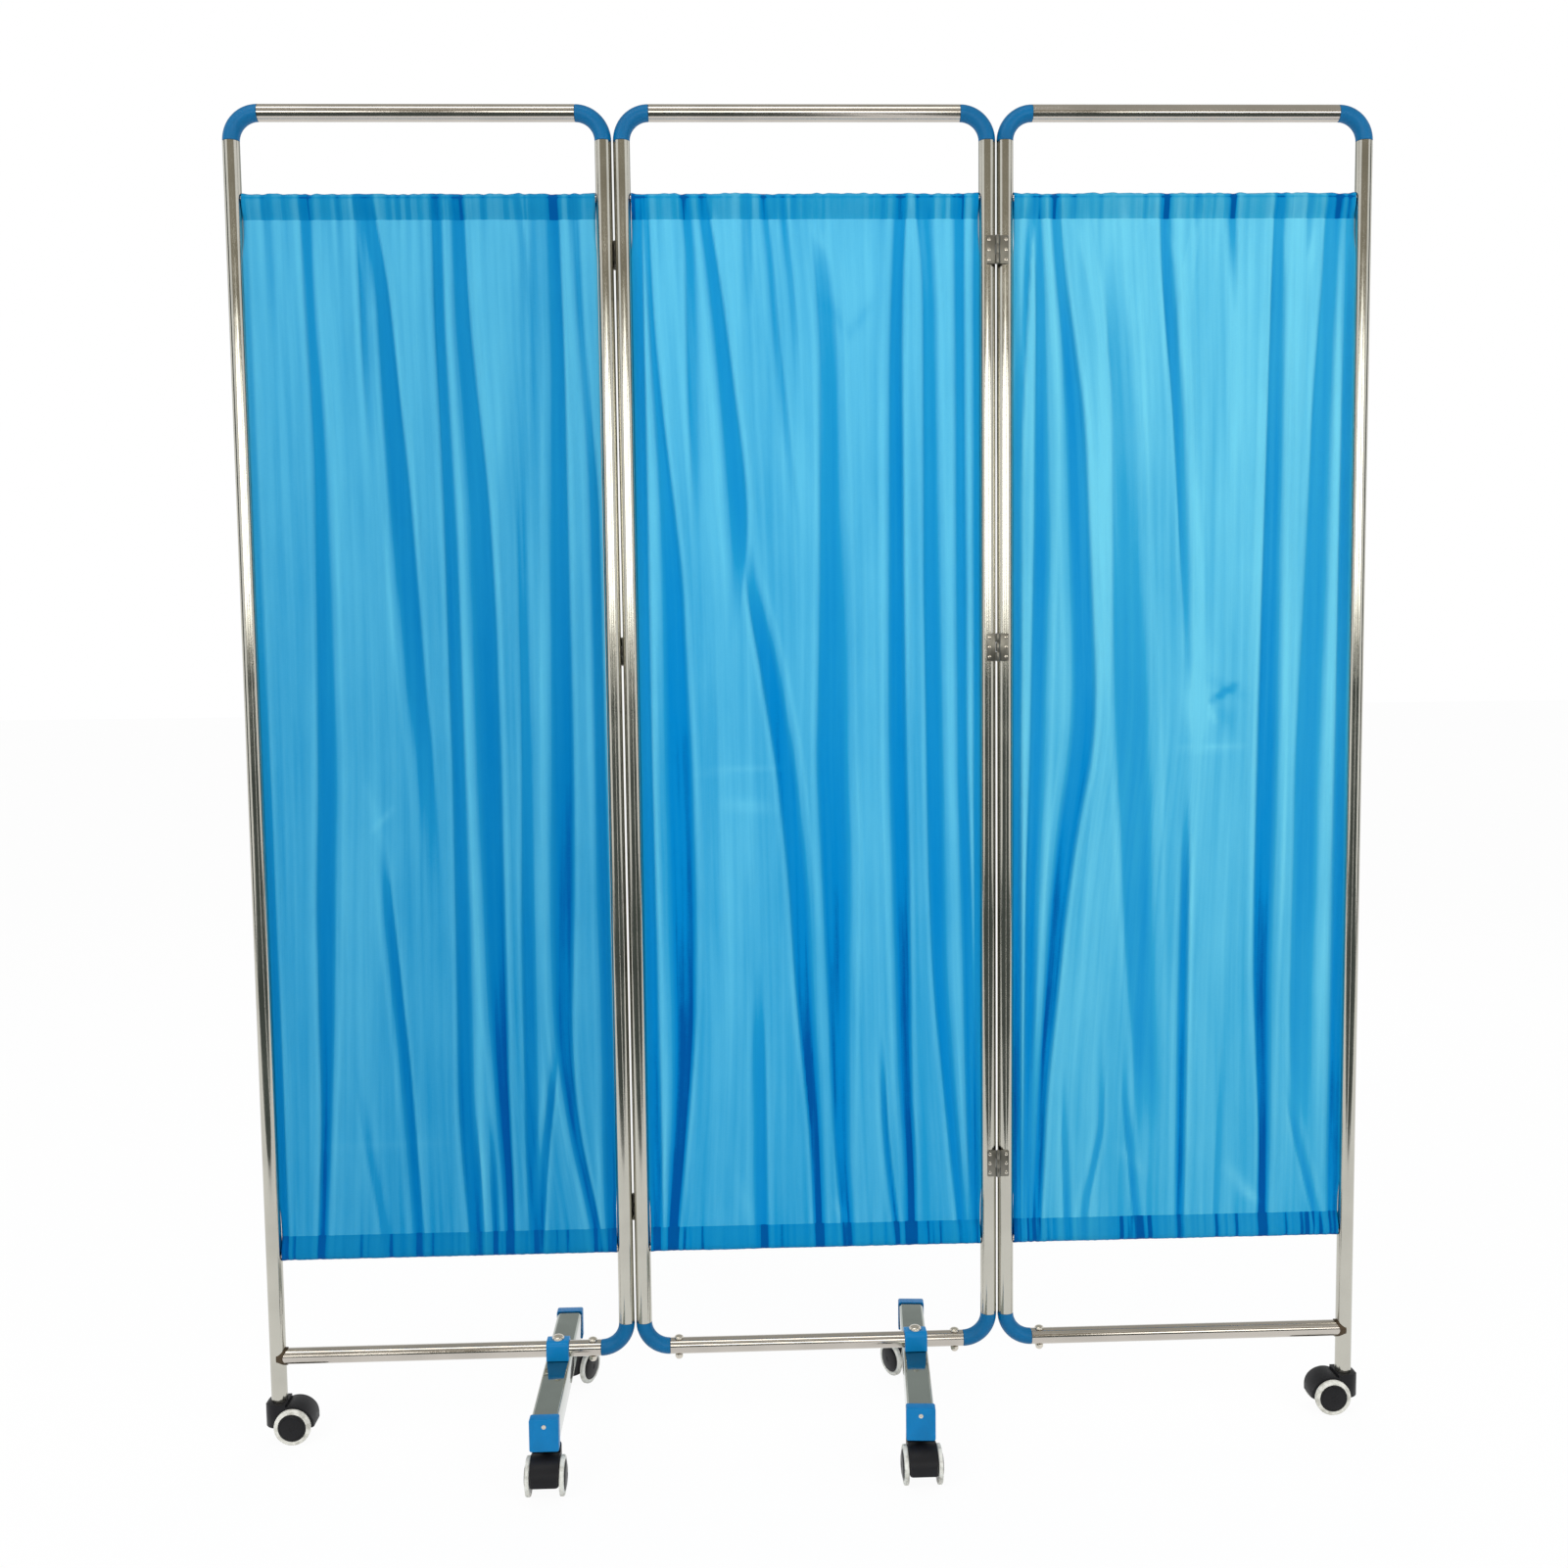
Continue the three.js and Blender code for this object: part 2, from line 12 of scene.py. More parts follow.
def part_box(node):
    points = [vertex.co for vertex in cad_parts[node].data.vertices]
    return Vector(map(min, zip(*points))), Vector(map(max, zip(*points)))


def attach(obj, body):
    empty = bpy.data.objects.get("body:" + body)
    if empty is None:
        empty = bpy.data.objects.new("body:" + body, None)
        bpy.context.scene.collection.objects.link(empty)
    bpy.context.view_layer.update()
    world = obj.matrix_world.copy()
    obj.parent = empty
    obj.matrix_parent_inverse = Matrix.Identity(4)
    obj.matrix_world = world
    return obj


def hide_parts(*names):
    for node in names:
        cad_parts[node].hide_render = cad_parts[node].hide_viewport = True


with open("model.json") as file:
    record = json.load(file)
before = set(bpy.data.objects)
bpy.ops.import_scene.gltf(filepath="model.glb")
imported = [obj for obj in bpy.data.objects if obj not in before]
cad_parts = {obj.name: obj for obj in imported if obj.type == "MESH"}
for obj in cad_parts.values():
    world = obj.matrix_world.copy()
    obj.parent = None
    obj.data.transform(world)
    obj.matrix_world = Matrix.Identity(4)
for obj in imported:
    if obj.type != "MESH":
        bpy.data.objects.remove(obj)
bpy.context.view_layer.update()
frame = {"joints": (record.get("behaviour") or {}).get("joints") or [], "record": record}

MM = 0.001
TURN = 2 * math.pi
QUARTER = math.pi / 2

# Frames
TUBE_RADIUS = 11 * MM
TUBE_BORE = 10 * MM
FIT = 0.3 * MM
HALF_SPACING = 241.5 * MM
PANEL_PITCH = 507 * MM
ELBOW_BEND = 36 * MM
SPIGOT = 28 * MM
RAIL_Z = 117 * MM
TOP_BAR_Z = 1789 * MM
PANELS = {"left": -PANEL_PITCH, "middle": 0.0, "right": PANEL_PITCH}

# Curtains
ROD_RADIUS = 4.5 * MM
ROD_Z = 1680 * MM
LOW_ROD_Z = 260 * MM
ROD_HEIGHTS = (ROD_Z, LOW_ROD_Z)
CURTAIN_TOP = 1687 * MM
CURTAIN_BOTTOM = 253 * MM
CURTAIN_HALF = 230.1 * MM
CLOTH_THICKNESS = 0.3 * MM

# Casters
WHEEL_RADIUS = 25 * MM
HOOD_HALF = 18.5 * MM
HOOD_TOP = 54.5 * MM
HOOD_BOTTOM = 22 * MM
FENDER_RADIUS = 28 * MM
AXLE_BOSS_RADIUS = 7.5 * MM

BODY = {node: body for body, nodes in frame["record"]["behaviour"]["bodies"].items()
        for node in nodes}
JOINTS = {joint["name"]: joint for joint in frame["joints"]}


def middle_of(node):
    low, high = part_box(node)
    return (low + high) / 2


PLANE_Y = middle_of("middle_left_post").y


def tone(red, green, blue):
    """A colour as a display shows it, 0 to 255, in Blender's linear values."""
    def linear(value):
        share = value / 255
        return share / 12.92 if share <= 0.04045 else ((share + 0.055) / 1.055) ** 2.4
    return (linear(red), linear(green), linear(blue), 1)


# Materials

def new_material(name):
    material = bpy.data.materials.new(name)
    material.use_nodes = True
    return material, material.node_tree, material.node_tree.nodes["Principled BSDF"]


def feed(tree, node, inputs):
    """Sets a node's inputs, by name or number, to values or to other nodes' outputs."""
    for name, value in inputs.items():
        if isinstance(value, bpy.types.NodeSocket):
            tree.links.new(value, node.inputs[name])
        else:
            node.inputs[name].default_value = value
    return node


def new_node(tree, kind, inputs):
    return feed(tree, tree.nodes.new(kind), inputs)


def noise(tree, scale, detail, stretch=(1, 1, 1), coordinates="Object"):
    """A noise pattern on the piece's own coordinates; a small stretch makes it long that way."""
    place = new_node(tree, "ShaderNodeTexCoord", {}).outputs[coordinates]
    mapping = new_node(tree, "ShaderNodeMapping", {"Vector": place, "Scale": stretch})
    inputs = {"Vector": mapping.outputs["Vector"], "Scale": scale, "Detail": detail}
    return new_node(tree, "ShaderNodeTexNoise", inputs).outputs["Fac"]


def combine(tree, operation, *values):
    """Sums and products of numbers or node outputs, such as ADD or MULTIPLY_ADD."""
    node = tree.nodes.new("ShaderNodeMath")
    node.operation = operation
    return feed(tree, node, dict(enumerate(values))).outputs[0]


def mixed(tree, share, first, second, output="Material Output"):
    """Shows a mix of two shaders, of which the second makes up share."""
    inputs = {"Fac": share, 1: first.outputs[0], 2: second.outputs[0]}
    mix = new_node(tree, "ShaderNodeMixShader", inputs)
    feed(tree, tree.nodes[output], {"Surface": mix.outputs[0]})


def between(tree, share, low, high, start=0.3, end=0.7):
    """A number that goes from low to high as share goes from start to end."""
    ends = {"From Min": start, "From Max": end, "To Min": low, "To Max": high}
    return new_node(tree, "ShaderNodeMapRange", {"Value": share, **ends}).outputs["Result"]


def shades(tree, share, stops):
    """A colour that share picks from stops, each a place from 0 to 1 and a colour."""
    node = new_node(tree, "ShaderNodeValToRGB", {"Fac": share})
    ramp = node.color_ramp
    while len(ramp.elements) < len(stops):
        ramp.elements.new(1)
    for element, (place, colour) in zip(ramp.elements, stops):
        element.position = place
        element.color = colour
    return node.outputs["Color"]


def bump(tree, height, distance, strength, below=None):
    """A normal from a height pattern, on top of another one if below is given."""
    inputs = {"Height": height, "Distance": distance, "Strength": strength}
    if below is not None:
        inputs["Normal"] = below
    return new_node(tree, "ShaderNodeBump", inputs).outputs["Normal"]


def scaled(colour, share):
    return tuple(min(1, value * share) for value in colour[:3]) + (1,)


def surfaced(name, slot, drift, grain, stops, rough, relief, more):
    """A material whose colour and shine drift with one noise and whose grain is another one.

    Like every finish, it comes with the slot that it fills.
    """
    material, tree, shader = new_material(name)
    drift = noise(tree, *drift)
    grain = noise(tree, *grain)
    feed(tree, shader, {"Base Color": shades(tree, drift, stops), **more,
                        "Roughness": between(tree, drift, *rough),
                        "Normal": bump(tree, grain, *relief)})
    return material, slot


def steel(name, colour, rough, grain):
    """Polished tube: fine lines along the tube, cloudy polish and a few dull smudges."""
    stops = [(0.3, scaled(colour, 0.9)), (0.55, colour), (0.8, scaled(colour, 1.06))]
    return surfaced(name, "polished_steel", (14, 4), (900, 2, grain), stops,
                    (rough * 0.75, rough * 1.5), (0.02 * MM, 0.12), {"Metallic": 1})


def moulded(name, slot, colour, rough, depth=0.03 * MM):
    """Moulded plastic: a fine even grain, slight colour drift and worn shine."""
    stops = [(0.25, scaled(colour, 0.88)), (0.5, colour), (0.8, scaled(colour, 1.1))]
    return surfaced(name, slot, (35, 4), (1400, 2), stops, (rough * 1.2, rough * 0.85),
                    (depth, 0.4), {"Specular IOR Level": 0.2})


def tread_rubber():
    """Cream tread with grey scuffs and a dull, slightly pitted face."""
    stops = [(0.3, tone(176, 174, 164)), (0.5, tone(216, 215, 206)), (0.7, tone(230, 229, 221))]
    return surfaced("tread_cream", "cream_tread", (120, 5), (900, 3), stops, (0.7, 0.5),
                    (0.05 * MM, 0.4), {})


LIGHT_THROUGH = 0.35
DEEPEST_BLUE = tone(0, 98, 176)


def curtain_cloth(name, single, gathered, folded):
    """Thin nylon that lets light through: single cloth, half gathered cloth, folded-up cloth."""
    material, tree, shader = new_material(name)
    # The layers attribute sets how dark the cloth is: its layers, with painted shade and painted
    # highlights from the folds, creases, rods and towards the floor.
    layers = new_node(tree, "ShaderNodeAttribute", {})
    layers.attribute_name = "layers"
    warp = noise(tree, 60, 2, (14, 1.2, 1), "UV")
    weft = noise(tree, 60, 2, (1.2, 30, 1), "UV")
    streaks = noise(tree, 10, 3, (5, 0.35, 1), "UV")
    clouds = noise(tree, 3, 4, (3, 3, 1), "UV")
    threads = combine(tree, "ADD", warp, weft)
    share = layers.outputs["Fac"]
    for pattern, weight in ((threads, 0.1), (streaks, 0.5), (clouds, 0.25)):
        share = combine(tree, "MULTIPLY_ADD", pattern, weight, share)
    stops = [(0, single), (0.45, gathered), (0.88, folded), (1, DEEPEST_BLUE)]
    colour = shades(tree, between(tree, share, 0, 1, 0.4, 1.75), stops)
    normal = bump(tree, threads, 0.08 * MM, 0.3, bump(tree, streaks, 0.6 * MM, 0.5))
    feed(tree, shader, {"Base Color": colour, "Normal": normal, "Specular IOR Level": 0.12,
                        "Roughness": between(tree, streaks, 0.42, 0.58),
                        "Specular Tint": tone(90, 200, 255),
                        "Sheen Weight": 0.02, "Sheen Tint": single})
    through = new_node(tree, "ShaderNodeBsdfTranslucent", {"Color": colour, "Normal": normal})
    mixed(tree, LIGHT_THROUGH, shader, through)
    return material, "blue_cloth"


UPRIGHT_STEEL = steel("steel_upright", tone(194, 192, 182), 0.11, (1, 1, 0.02))
LEVEL_STEEL = steel("steel_level", tone(196, 190, 182), 0.11, (0.02, 1, 1))
FOOT_STEEL = steel("steel_foot", tone(165, 172, 166), 0.06, (1, 0.02, 1))
HINGE_STEEL = steel("steel_hinge", tone(128, 126, 118), 0.3, (1, 1, 0.1))
BOLT_STEEL = steel("steel_bolt", tone(214, 208, 196), 0.2, (1, 1, 1))
WELD_STEEL = steel("steel_weld", tone(92, 80, 66), 0.42, (1, 1, 1))
ELBOW_BLUE = moulded("elbow_blue", "blue_plastic", tone(0, 97, 147), 0.38)
CAP_BLUE = moulded("cap_blue", "blue_plastic", tone(0, 117, 176), 0.34)
HOOD_BLACK = moulded("hood_black", "black_plastic", tone(24, 24, 27), 0.42, 0.06 * MM)
HUB_BLACK = moulded("hub_black", "black_plastic", tone(24, 24, 26), 0.3)
TREAD_CREAM = tread_rubber()


# Shapes

def turned(profile, sides=48, closed=False):
    """Radius and height pairs turned about Z. closed joins the last pair to the first."""
    bm = bmesh.new()
    verts = [bm.verts.new((radius, 0, z)) for radius, z in profile]
    pairs = list(zip(verts, verts[1:] + verts[:1] if closed else verts[1:]))
    edges = [bm.edges.new(pair) for pair in pairs]
    bmesh.ops.spin(bm, geom=verts + edges, cent=(0, 0, 0), axis=(0, 0, 1), dvec=(0, 0, 0),
                   angle=TURN, steps=sides, use_merge=True)
    bmesh.ops.remove_doubles(bm, verts=bm.verts, dist=0.001 * MM)
    bmesh.ops.recalc_face_normals(bm, faces=bm.faces)
    return bm


def rounded(bm, edges, width, segments):
    bmesh.ops.bevel(bm, geom=edges, offset=width, offset_type="OFFSET", segments=segments,
                    profile=0.5, affect="EDGES", material=-1, clamp_overlap=True)
    return bm


def soften(bm, width, segments=2, over=35):
    """Rounds every edge that turns more than over degrees."""
    sharp = [edge for edge in bm.edges
             if len(edge.link_faces) == 2 and edge.calc_face_angle() > math.radians(over)]
    return rounded(bm, sharp, width, segments)


def moved(bm, *steps):
    """bm after these matrices, the first one last."""
    whole = Matrix.Identity(4)
    for step in steps:
        whole = whole @ step
    bmesh.ops.transform(bm, matrix=whole, verts=bm.verts)
    return bm


def to(x, y, z):
    return Matrix.Translation((x, y, z))


def about(axis, angle):
    return Matrix.Rotation(angle, 4, axis)


ALONG_X = about("Y", QUARTER)
ALONG_Y = about("X", -QUARTER)
ALONG_MINUS_Y = about("X", QUARTER)


def block(size, centre=(0, 0, 0)):
    bm = bmesh.new()
    bmesh.ops.create_cube(bm, size=1, matrix=to(*centre) @ Matrix.Diagonal((*size, 1)))
    return bm


def round_along(bm, axis, width, segments, chosen=lambda middle: True):
    """Rounds the edges that run along an axis (0, 1 or 2) and whose middle is chosen."""
    edges = []
    for edge in bm.edges:
        run = (edge.verts[1].co - edge.verts[0].co).normalized()
        middle = (edge.verts[1].co + edge.verts[0].co) / 2
        if abs(run[axis]) > 0.99 and chosen(middle):
            edges.append(edge)
    return rounded(bm, edges, width, segments)


def cylinder(radius, length, sides=48):
    """A solid round bar on Z, with its middle at the origin."""
    bm = bmesh.new()
    bmesh.ops.create_cone(bm, cap_ends=True, segments=sides, radius1=radius, radius2=radius,
                          depth=length)
    return bm


def as_object(bm, name="work"):
    mesh = bpy.data.meshes.new(name)
    bm.to_mesh(mesh)
    bm.free()
    made = bpy.data.objects.new(name, mesh)
    bpy.context.scene.collection.objects.link(made)
    return made


def combined(bm, tool, operation):
    """bm joined with tool, cut by it or kept only inside it: UNION, DIFFERENCE, INTERSECT."""
    first, second = as_object(bm), as_object(tool)
    modifier = first.modifiers.new("combine", "BOOLEAN")
    modifier.object = second
    modifier.operation = operation
    modifier.solver = "EXACT"
    bpy.context.view_layer.update()
    graph = bpy.context.evaluated_depsgraph_get()
    result = bmesh.new()
    result.from_mesh(first.evaluated_get(graph).to_mesh())
    for used in (first, second):
        mesh = used.data
        bpy.data.objects.remove(used)
        bpy.data.meshes.remove(mesh)
    return result


def cut(bm, *tools):
    for tool in tools:
        bm = combined(bm, tool, "DIFFERENCE")
    return bm


def together(*shapes):
    """Several shapes in one bmesh, not joined."""
    whole = bmesh.new()
    for shape in shapes:
        mesh = bpy.data.meshes.new("work")
        shape.to_mesh(mesh)
        shape.free()
        whole.from_mesh(mesh)
        bpy.data.meshes.remove(mesh)
    return whole


def piece(name, bm, node, finish, stands_for=(), sharp=32):
    """A finished piece that rides with a node: smooth but for edges over sharp degrees."""
    material, slot = finish
    made = as_object(bm, name)
    made.data.materials.append(material)
    made.data.shade_smooth()
    made.data.set_sharp_from_angle(angle=math.radians(sharp))
    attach(made, BODY[node])
    if stands_for:
        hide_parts(*stands_for)
    return made


def pipe(radius, bore, length, rings=()):
    """A tube on Z from 0 to length, with softened ends. rings are extra loops' heights."""
    soft = 0.25 * MM
    outside = [(radius - soft, 0), (radius, soft), *((radius, z) for z in rings),
               (radius, length - soft), (radius - soft, length)]
    inside = [(bore, length), *((bore, z) for z in reversed(rings)), (bore, 0)]
    return turned(outside + inside, closed=True)


def in_mm(*pairs, base=0):
    """A profile's radius and height pairs, given in millimetres, with heights from base."""
    return [(radius * MM, base + z * MM) for radius, z in pairs]


def dome(radius, height, rim, steps=7):
    """The profile of a domed head on z = 0."""
    angles = [QUARTER * step / steps for step in range(steps + 1)]
    arc = [(radius * math.cos(a), rim + (height - rim) * math.sin(a)) for a in angles]
    return [(0, 0), (radius, 0), *arc]


def screw_head(profile, recess, angle, recess_z=0):
    """A countersunk head on Z with a cross recess that is turned by angle."""
    head = turned(profile, 24)
    for turn in (0, QUARTER):
        bar = block(recess, (0, 0, recess_z))
        head = cut(head, moved(bar, about("Z", turn + angle)))
    return head


# Frames

# The extra rings of points in a post lie this far above and below its rod holes.
RING_REACH = 9 * MM

# The rails' bolts, BOLT_INSET from the elbows' ends. A dome has a radius, a height and its rim's
# height, and lies SUNK deep in what it sits on.
BOLT_INSET = 12 * MM
BOLT_RADIUS = 3 * MM
BOLT_HEAD = (6.5 * MM, 4.5 * MM, 0.8 * MM)
NUT_RADIUS = 6 * MM
NUT_HEIGHT = 4.4 * MM
NUT_CAP = (4.9 * MM, 3.8 * MM, 0.4 * MM)
SUNK = 0.2 * MM


def post(node, panel_x):
    """A post with the holes for the curtain rods, which face the panel's middle."""
    low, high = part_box(node)
    x = middle_of(node).x
    length = high.z - low.z
    rings = sorted(z - low.z + side * RING_REACH for z in ROD_HEIGHTS for side in (-1, 1))
    tube = moved(pipe(TUBE_RADIUS, TUBE_BORE, length, rings), to(x, PLANE_Y, low.z))
    wall = x + math.copysign(TUBE_RADIUS, panel_x - x)
    for z in ROD_HEIGHTS:
        hole = cylinder(ROD_RADIUS + FIT, TUBE_RADIUS, 32)
        tube = cut(tube, moved(hole, to(wall, PLANE_Y, z), ALONG_X))
    piece(f"{node}_tube", tube, node, UPRIGHT_STEEL, [node])


def level_tube(node):
    """A tube along X, as far as its node's box goes."""
    low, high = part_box(node)
    z = TOP_BAR_Z if low.z > 1 else RAIL_Z
    return moved(pipe(TUBE_RADIUS, TUBE_BORE, high.x - low.x), to(low.x, PLANE_Y, z), ALONG_X)


def weld_collar(x, side):
    """The crescent-shaped bead where a rail meets its end post. side is where the rail lies."""
    bead, reach, wrap = 0.9 * MM, 20 * MM, 3.2 * MM
    start = x if side > 0 else x - reach
    ring = moved(pipe(TUBE_RADIUS + bead, TUBE_RADIUS + 0.03 * MM, reach),
                 to(start, PLANE_Y, RAIL_Z), ALONG_X)
    near = moved(cylinder(TUBE_RADIUS + wrap, 40 * MM, 96), to(x, PLANE_Y, RAIL_Z))
    post_space = moved(cylinder(TUBE_RADIUS + 0.05 * MM, 50 * MM, 96), to(x, PLANE_Y, RAIL_Z))
    return soften(cut(combined(ring, near, "INTERSECT"), post_space), 0.25 * MM, 1, 50)


def rail_bolt(x):
    """A through bolt: dome head with a washer above the rail, acorn nut below it."""
    face = TUBE_RADIUS - SUNK
    head = moved(turned(dome(*BOLT_HEAD), 32), to(0, 0, face))
    shank = cylinder(BOLT_RADIUS, 2 * (TUBE_RADIUS + MM), 24)
    nut = soften(cylinder(NUT_RADIUS, NUT_HEIGHT, 6), 0.35 * MM)
    nut = moved(nut, to(0, 0, -face - NUT_HEIGHT / 2))
    cap = moved(turned(dome(*NUT_CAP), 24), to(0, 0, -face - NUT_HEIGHT), about("X", math.pi))
    return moved(together(head, shank, nut, cap), to(x, PLANE_Y, RAIL_Z))


def rail(panel):
    """A bottom rail: coped and welded to an end post, bolted to the elbows' spigots."""
    node = f"{panel}_rail"
    tube = level_tube(node)
    for side, name in ((-1, "left"), (1, "right")):
        end = PANELS[panel] + side * HALF_SPACING
        if name == panel:
            space = moved(cylinder(TUBE_RADIUS + FIT, 60 * MM, 96), to(end, PLANE_Y, RAIL_Z))
            tube = cut(tube, space)
            piece(f"{node}_weld", weld_collar(end, -side), node, WELD_STEEL)
        else:
            bolt_x = end - side * (ELBOW_BEND + BOLT_INSET)
            piece(f"{node}_{name}_bolt", rail_bolt(bolt_x), node, BOLT_STEEL)
    piece(f"{node}_tube", tube, node, LEVEL_STEEL, [node])


def elbow(node, turn):
    """A quarter bend flush with the tubes, with a spigot in each of them."""
    bm = bmesh.new()
    start = to(ELBOW_BEND, 0, 0) @ ALONG_X
    bmesh.ops.create_circle(bm, segments=48, radius=TUBE_RADIUS, matrix=start)
    bmesh.ops.spin(bm, geom=bm.verts[:] + bm.edges[:], cent=(ELBOW_BEND, 0, -ELBOW_BEND),
                   axis=(0, 1, 0), dvec=(0, 0, 0), angle=-QUARTER, steps=20)
    bmesh.ops.remove_doubles(bm, verts=bm.verts, dist=0.001 * MM)
    ends = bmesh.ops.holes_fill(bm, edges=[e for e in bm.edges if e.is_boundary], sides=0)["faces"]
    bmesh.ops.recalc_face_normals(bm, faces=bm.faces)
    rims = [edge for end in ends for edge in end.edges]
    for end in ends:
        way = end.normal.copy()
        bmesh.ops.inset_region(bm, faces=[end], thickness=TUBE_RADIUS - TUBE_BORE + FIT)
        out = bmesh.ops.extrude_discrete_faces(bm, faces=[end])["faces"]
        bmesh.ops.translate(bm, verts=out[0].verts, vec=way * SPIGOT)
    rounded(bm, rims, 0.4 * MM, 3)
    low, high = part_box(node)
    left, bottom = turn in (0, 270), turn in (180, 270)
    x = low.x + TUBE_RADIUS if left else high.x - TUBE_RADIUS
    z = RAIL_Z if bottom else TOP_BAR_Z
    moved(bm, to(x, PLANE_Y, z), about("Y", math.radians(turn)))
    piece(f"{node}_moulding", bm, node, ELBOW_BLUE, [node])


POSTS = {
    "left": ("left_end_post", "left_seam_post"),
    "middle": ("middle_left_post", "middle_right_post"),
    "right": ("right_seam_post", "right_end_post"),
}
ELBOW_TURNS = {
    "left_top_outer": 0, "left_top_inner": 90, "left_bottom": 180,
    "middle_top_left": 0, "middle_top_right": 90,
    "middle_bottom_right": 180, "middle_bottom_left": 270,
    "right_top_inner": 0, "right_top_outer": 90, "right_bottom": 270,
}


def frames():
    for panel, names in POSTS.items():
        for name in names:
            post(name, PANELS[panel])
        bar = f"{panel}_top_bar"
        piece(f"{bar}_tube", level_tube(bar), bar, LEVEL_STEEL, [bar])
        rail(panel)
    for name, turn in ELBOW_TURNS.items():
        elbow(f"{name}_elbow", turn)


# Hinges

HINGE_HEIGHT = 37 * MM
HINGE_REACH = 15 * MM
LEAF_THICKNESS = 1.5 * MM
BARREL_RADIUS = 3 * MM
KNUCKLE_GAP = 0.4 * MM
PIVOT_Y = 13.2 * MM
SCREW_SUNK = 0.45 * MM
SCREW_X = 11.4 * MM
SCREW_HEIGHTS = (5.5 * MM, 18.5 * MM, 31.5 * MM)
PIN_RADIUS = 1.1 * MM


def hinge_screw(x, z):
    """One screw, sunk in the leaf's front face."""
    profile = in_mm((0, 0), (2.7, 0), (2.7, 0.25), (1.9, 0.6), (0, 0.75))
    recess = (2.6 * MM, 0.55 * MM, 0.8 * MM)
    head = screw_head(profile, recess, angle=0.4, recess_z=0.75 * MM)
    face = -TUBE_RADIUS - FIT - LEAF_THICKNESS
    return moved(head, to(x, face + SCREW_SUNK, z), ALONG_MINUS_Y)


def hinge_leaf(pinned):
    """The leaf on the post at +X of a seam, hinge at the front, its base at z = 0."""
    plate_y = -TUBE_RADIUS - FIT - LEAF_THICKNESS / 2
    inner = BARREL_RADIUS + KNUCKLE_GAP
    width = HINGE_REACH - inner
    leaf = block((width, LEAF_THICKNESS, HINGE_HEIGHT),
                 (inner + width / 2, plate_y, HINGE_HEIGHT / 2))
    round_along(leaf, 1, 1.8 * MM, 4, lambda middle: middle.x > inner + MM)
    soften(leaf, 0.2 * MM)
    knuckle = (HINGE_HEIGHT - 2 * KNUCKLE_GAP) / 3
    middle = knuckle + KNUCKLE_GAP
    starts = [middle] if pinned else [0, HINGE_HEIGHT - knuckle]
    shapes = [leaf]
    for z in starts:
        wrap = block((inner + 0.2 * MM, LEAF_THICKNESS * 0.98, knuckle),
                     (inner / 2, plate_y, z + knuckle / 2))
        barrel = soften(cylinder(BARREL_RADIUS, knuckle, 32), 0.2 * MM)
        shapes += [wrap, moved(barrel, to(0, -PIVOT_Y, z + knuckle / 2))]
    if pinned:
        pin = cylinder(PIN_RADIUS, HINGE_HEIGHT, 20)
        shapes.append(moved(pin, to(0, -PIVOT_Y, HINGE_HEIGHT / 2)))
        for z, up in ((0, math.pi), (HINGE_HEIGHT, 0)):
            head = turned(dome(1.9 * MM, 0.9 * MM, 0.2 * MM), 20)
            shapes.append(moved(head, to(0, -PIVOT_Y, z), about("X", up)))
    return together(*shapes), together(*(hinge_screw(SCREW_X, z) for z in SCREW_HEIGHTS))


def hinges():
    for seam in ("front", "rear"):
        rear = seam == "rear"
        x = (-1 if rear else 1) * PANEL_PITCH / 2
        for side in ("left", "right"):
            pinned = rear == (side == "left")
            for level in ("top", "middle", "bottom"):
                node = f"{seam}_hinge_{level}_{side}_leaf"
                place = [to(x, PLANE_Y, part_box(node)[0].z), about("Z", math.pi if rear else 0)]
                if not pinned:
                    place += [to(0, 0, HINGE_HEIGHT), about("Y", math.pi)]
                leaf, screws = hinge_leaf(pinned)
                piece(f"{node}_plate", moved(leaf, *place), node, HINGE_STEEL, [node])
                piece(f"{node}_screws", moved(screws, *place), node, BOLT_STEEL)


# Feet

FOOT_WIDTH = 35 * MM
FOOT_DEPTH = 40 * MM
FOOT_Z = 84 * MM
FOOT_CORNER = 4 * MM
CAP_WALL = 1.2 * MM
CAP_FACE = 3 * MM
CAP_LENGTH = 15 * MM
CAP_CORNER = 2.6 * MM
CAP_SCREW_UP = 11.5 * MM
FOOT_WALL = 1.5 * MM
SADDLE_TOP = 131.5 * MM
SADDLE_BOLT = (8.5 * MM, 6 * MM, MM)
# How far a cutting tool reaches past the end that it opens
PAST = 5 * MM
FRONT_REACH = 183 * MM
REAR_REACH = 167 * MM
FEET = {"left_foot": 0, "middle_foot": math.radians(-4.5)}


def rounded_bar(width, depth, start, end, corner):
    """A solid bar along Y with rounded long edges, its middle at x = z = 0."""
    bar = block((width, end - start, depth), (0, (start + end) / 2, 0))
    return round_along(bar, 1, corner, 6)


def foot_cap(reach):
    """A cup over the foot's front end, with a screw near the top of its face."""
    grow = 2 * (FIT + CAP_WALL)
    outside = rounded_bar(FOOT_WIDTH + grow, FOOT_DEPTH + grow, -reach, CAP_LENGTH - reach,
                          CAP_CORNER)
    front = [edge for edge in outside.edges
             if all(vert.co.y < -reach + 0.01 * MM for vert in edge.verts)]
    rounded(outside, front, 0.9 * MM, 3)
    inside = rounded_bar(FOOT_WIDTH + 2 * FIT, FOOT_DEPTH + 2 * FIT, CAP_FACE - reach,
                         CAP_LENGTH - reach + PAST, FOOT_CORNER + FIT)
    sink = turned(in_mm((0, -2), (1.6, -2), (3.1, 0), (3.1, 1), (0, 1)), 24)
    return cut(outside, inside, moved(sink, to(0, -reach, CAP_SCREW_UP), ALONG_MINUS_Y))


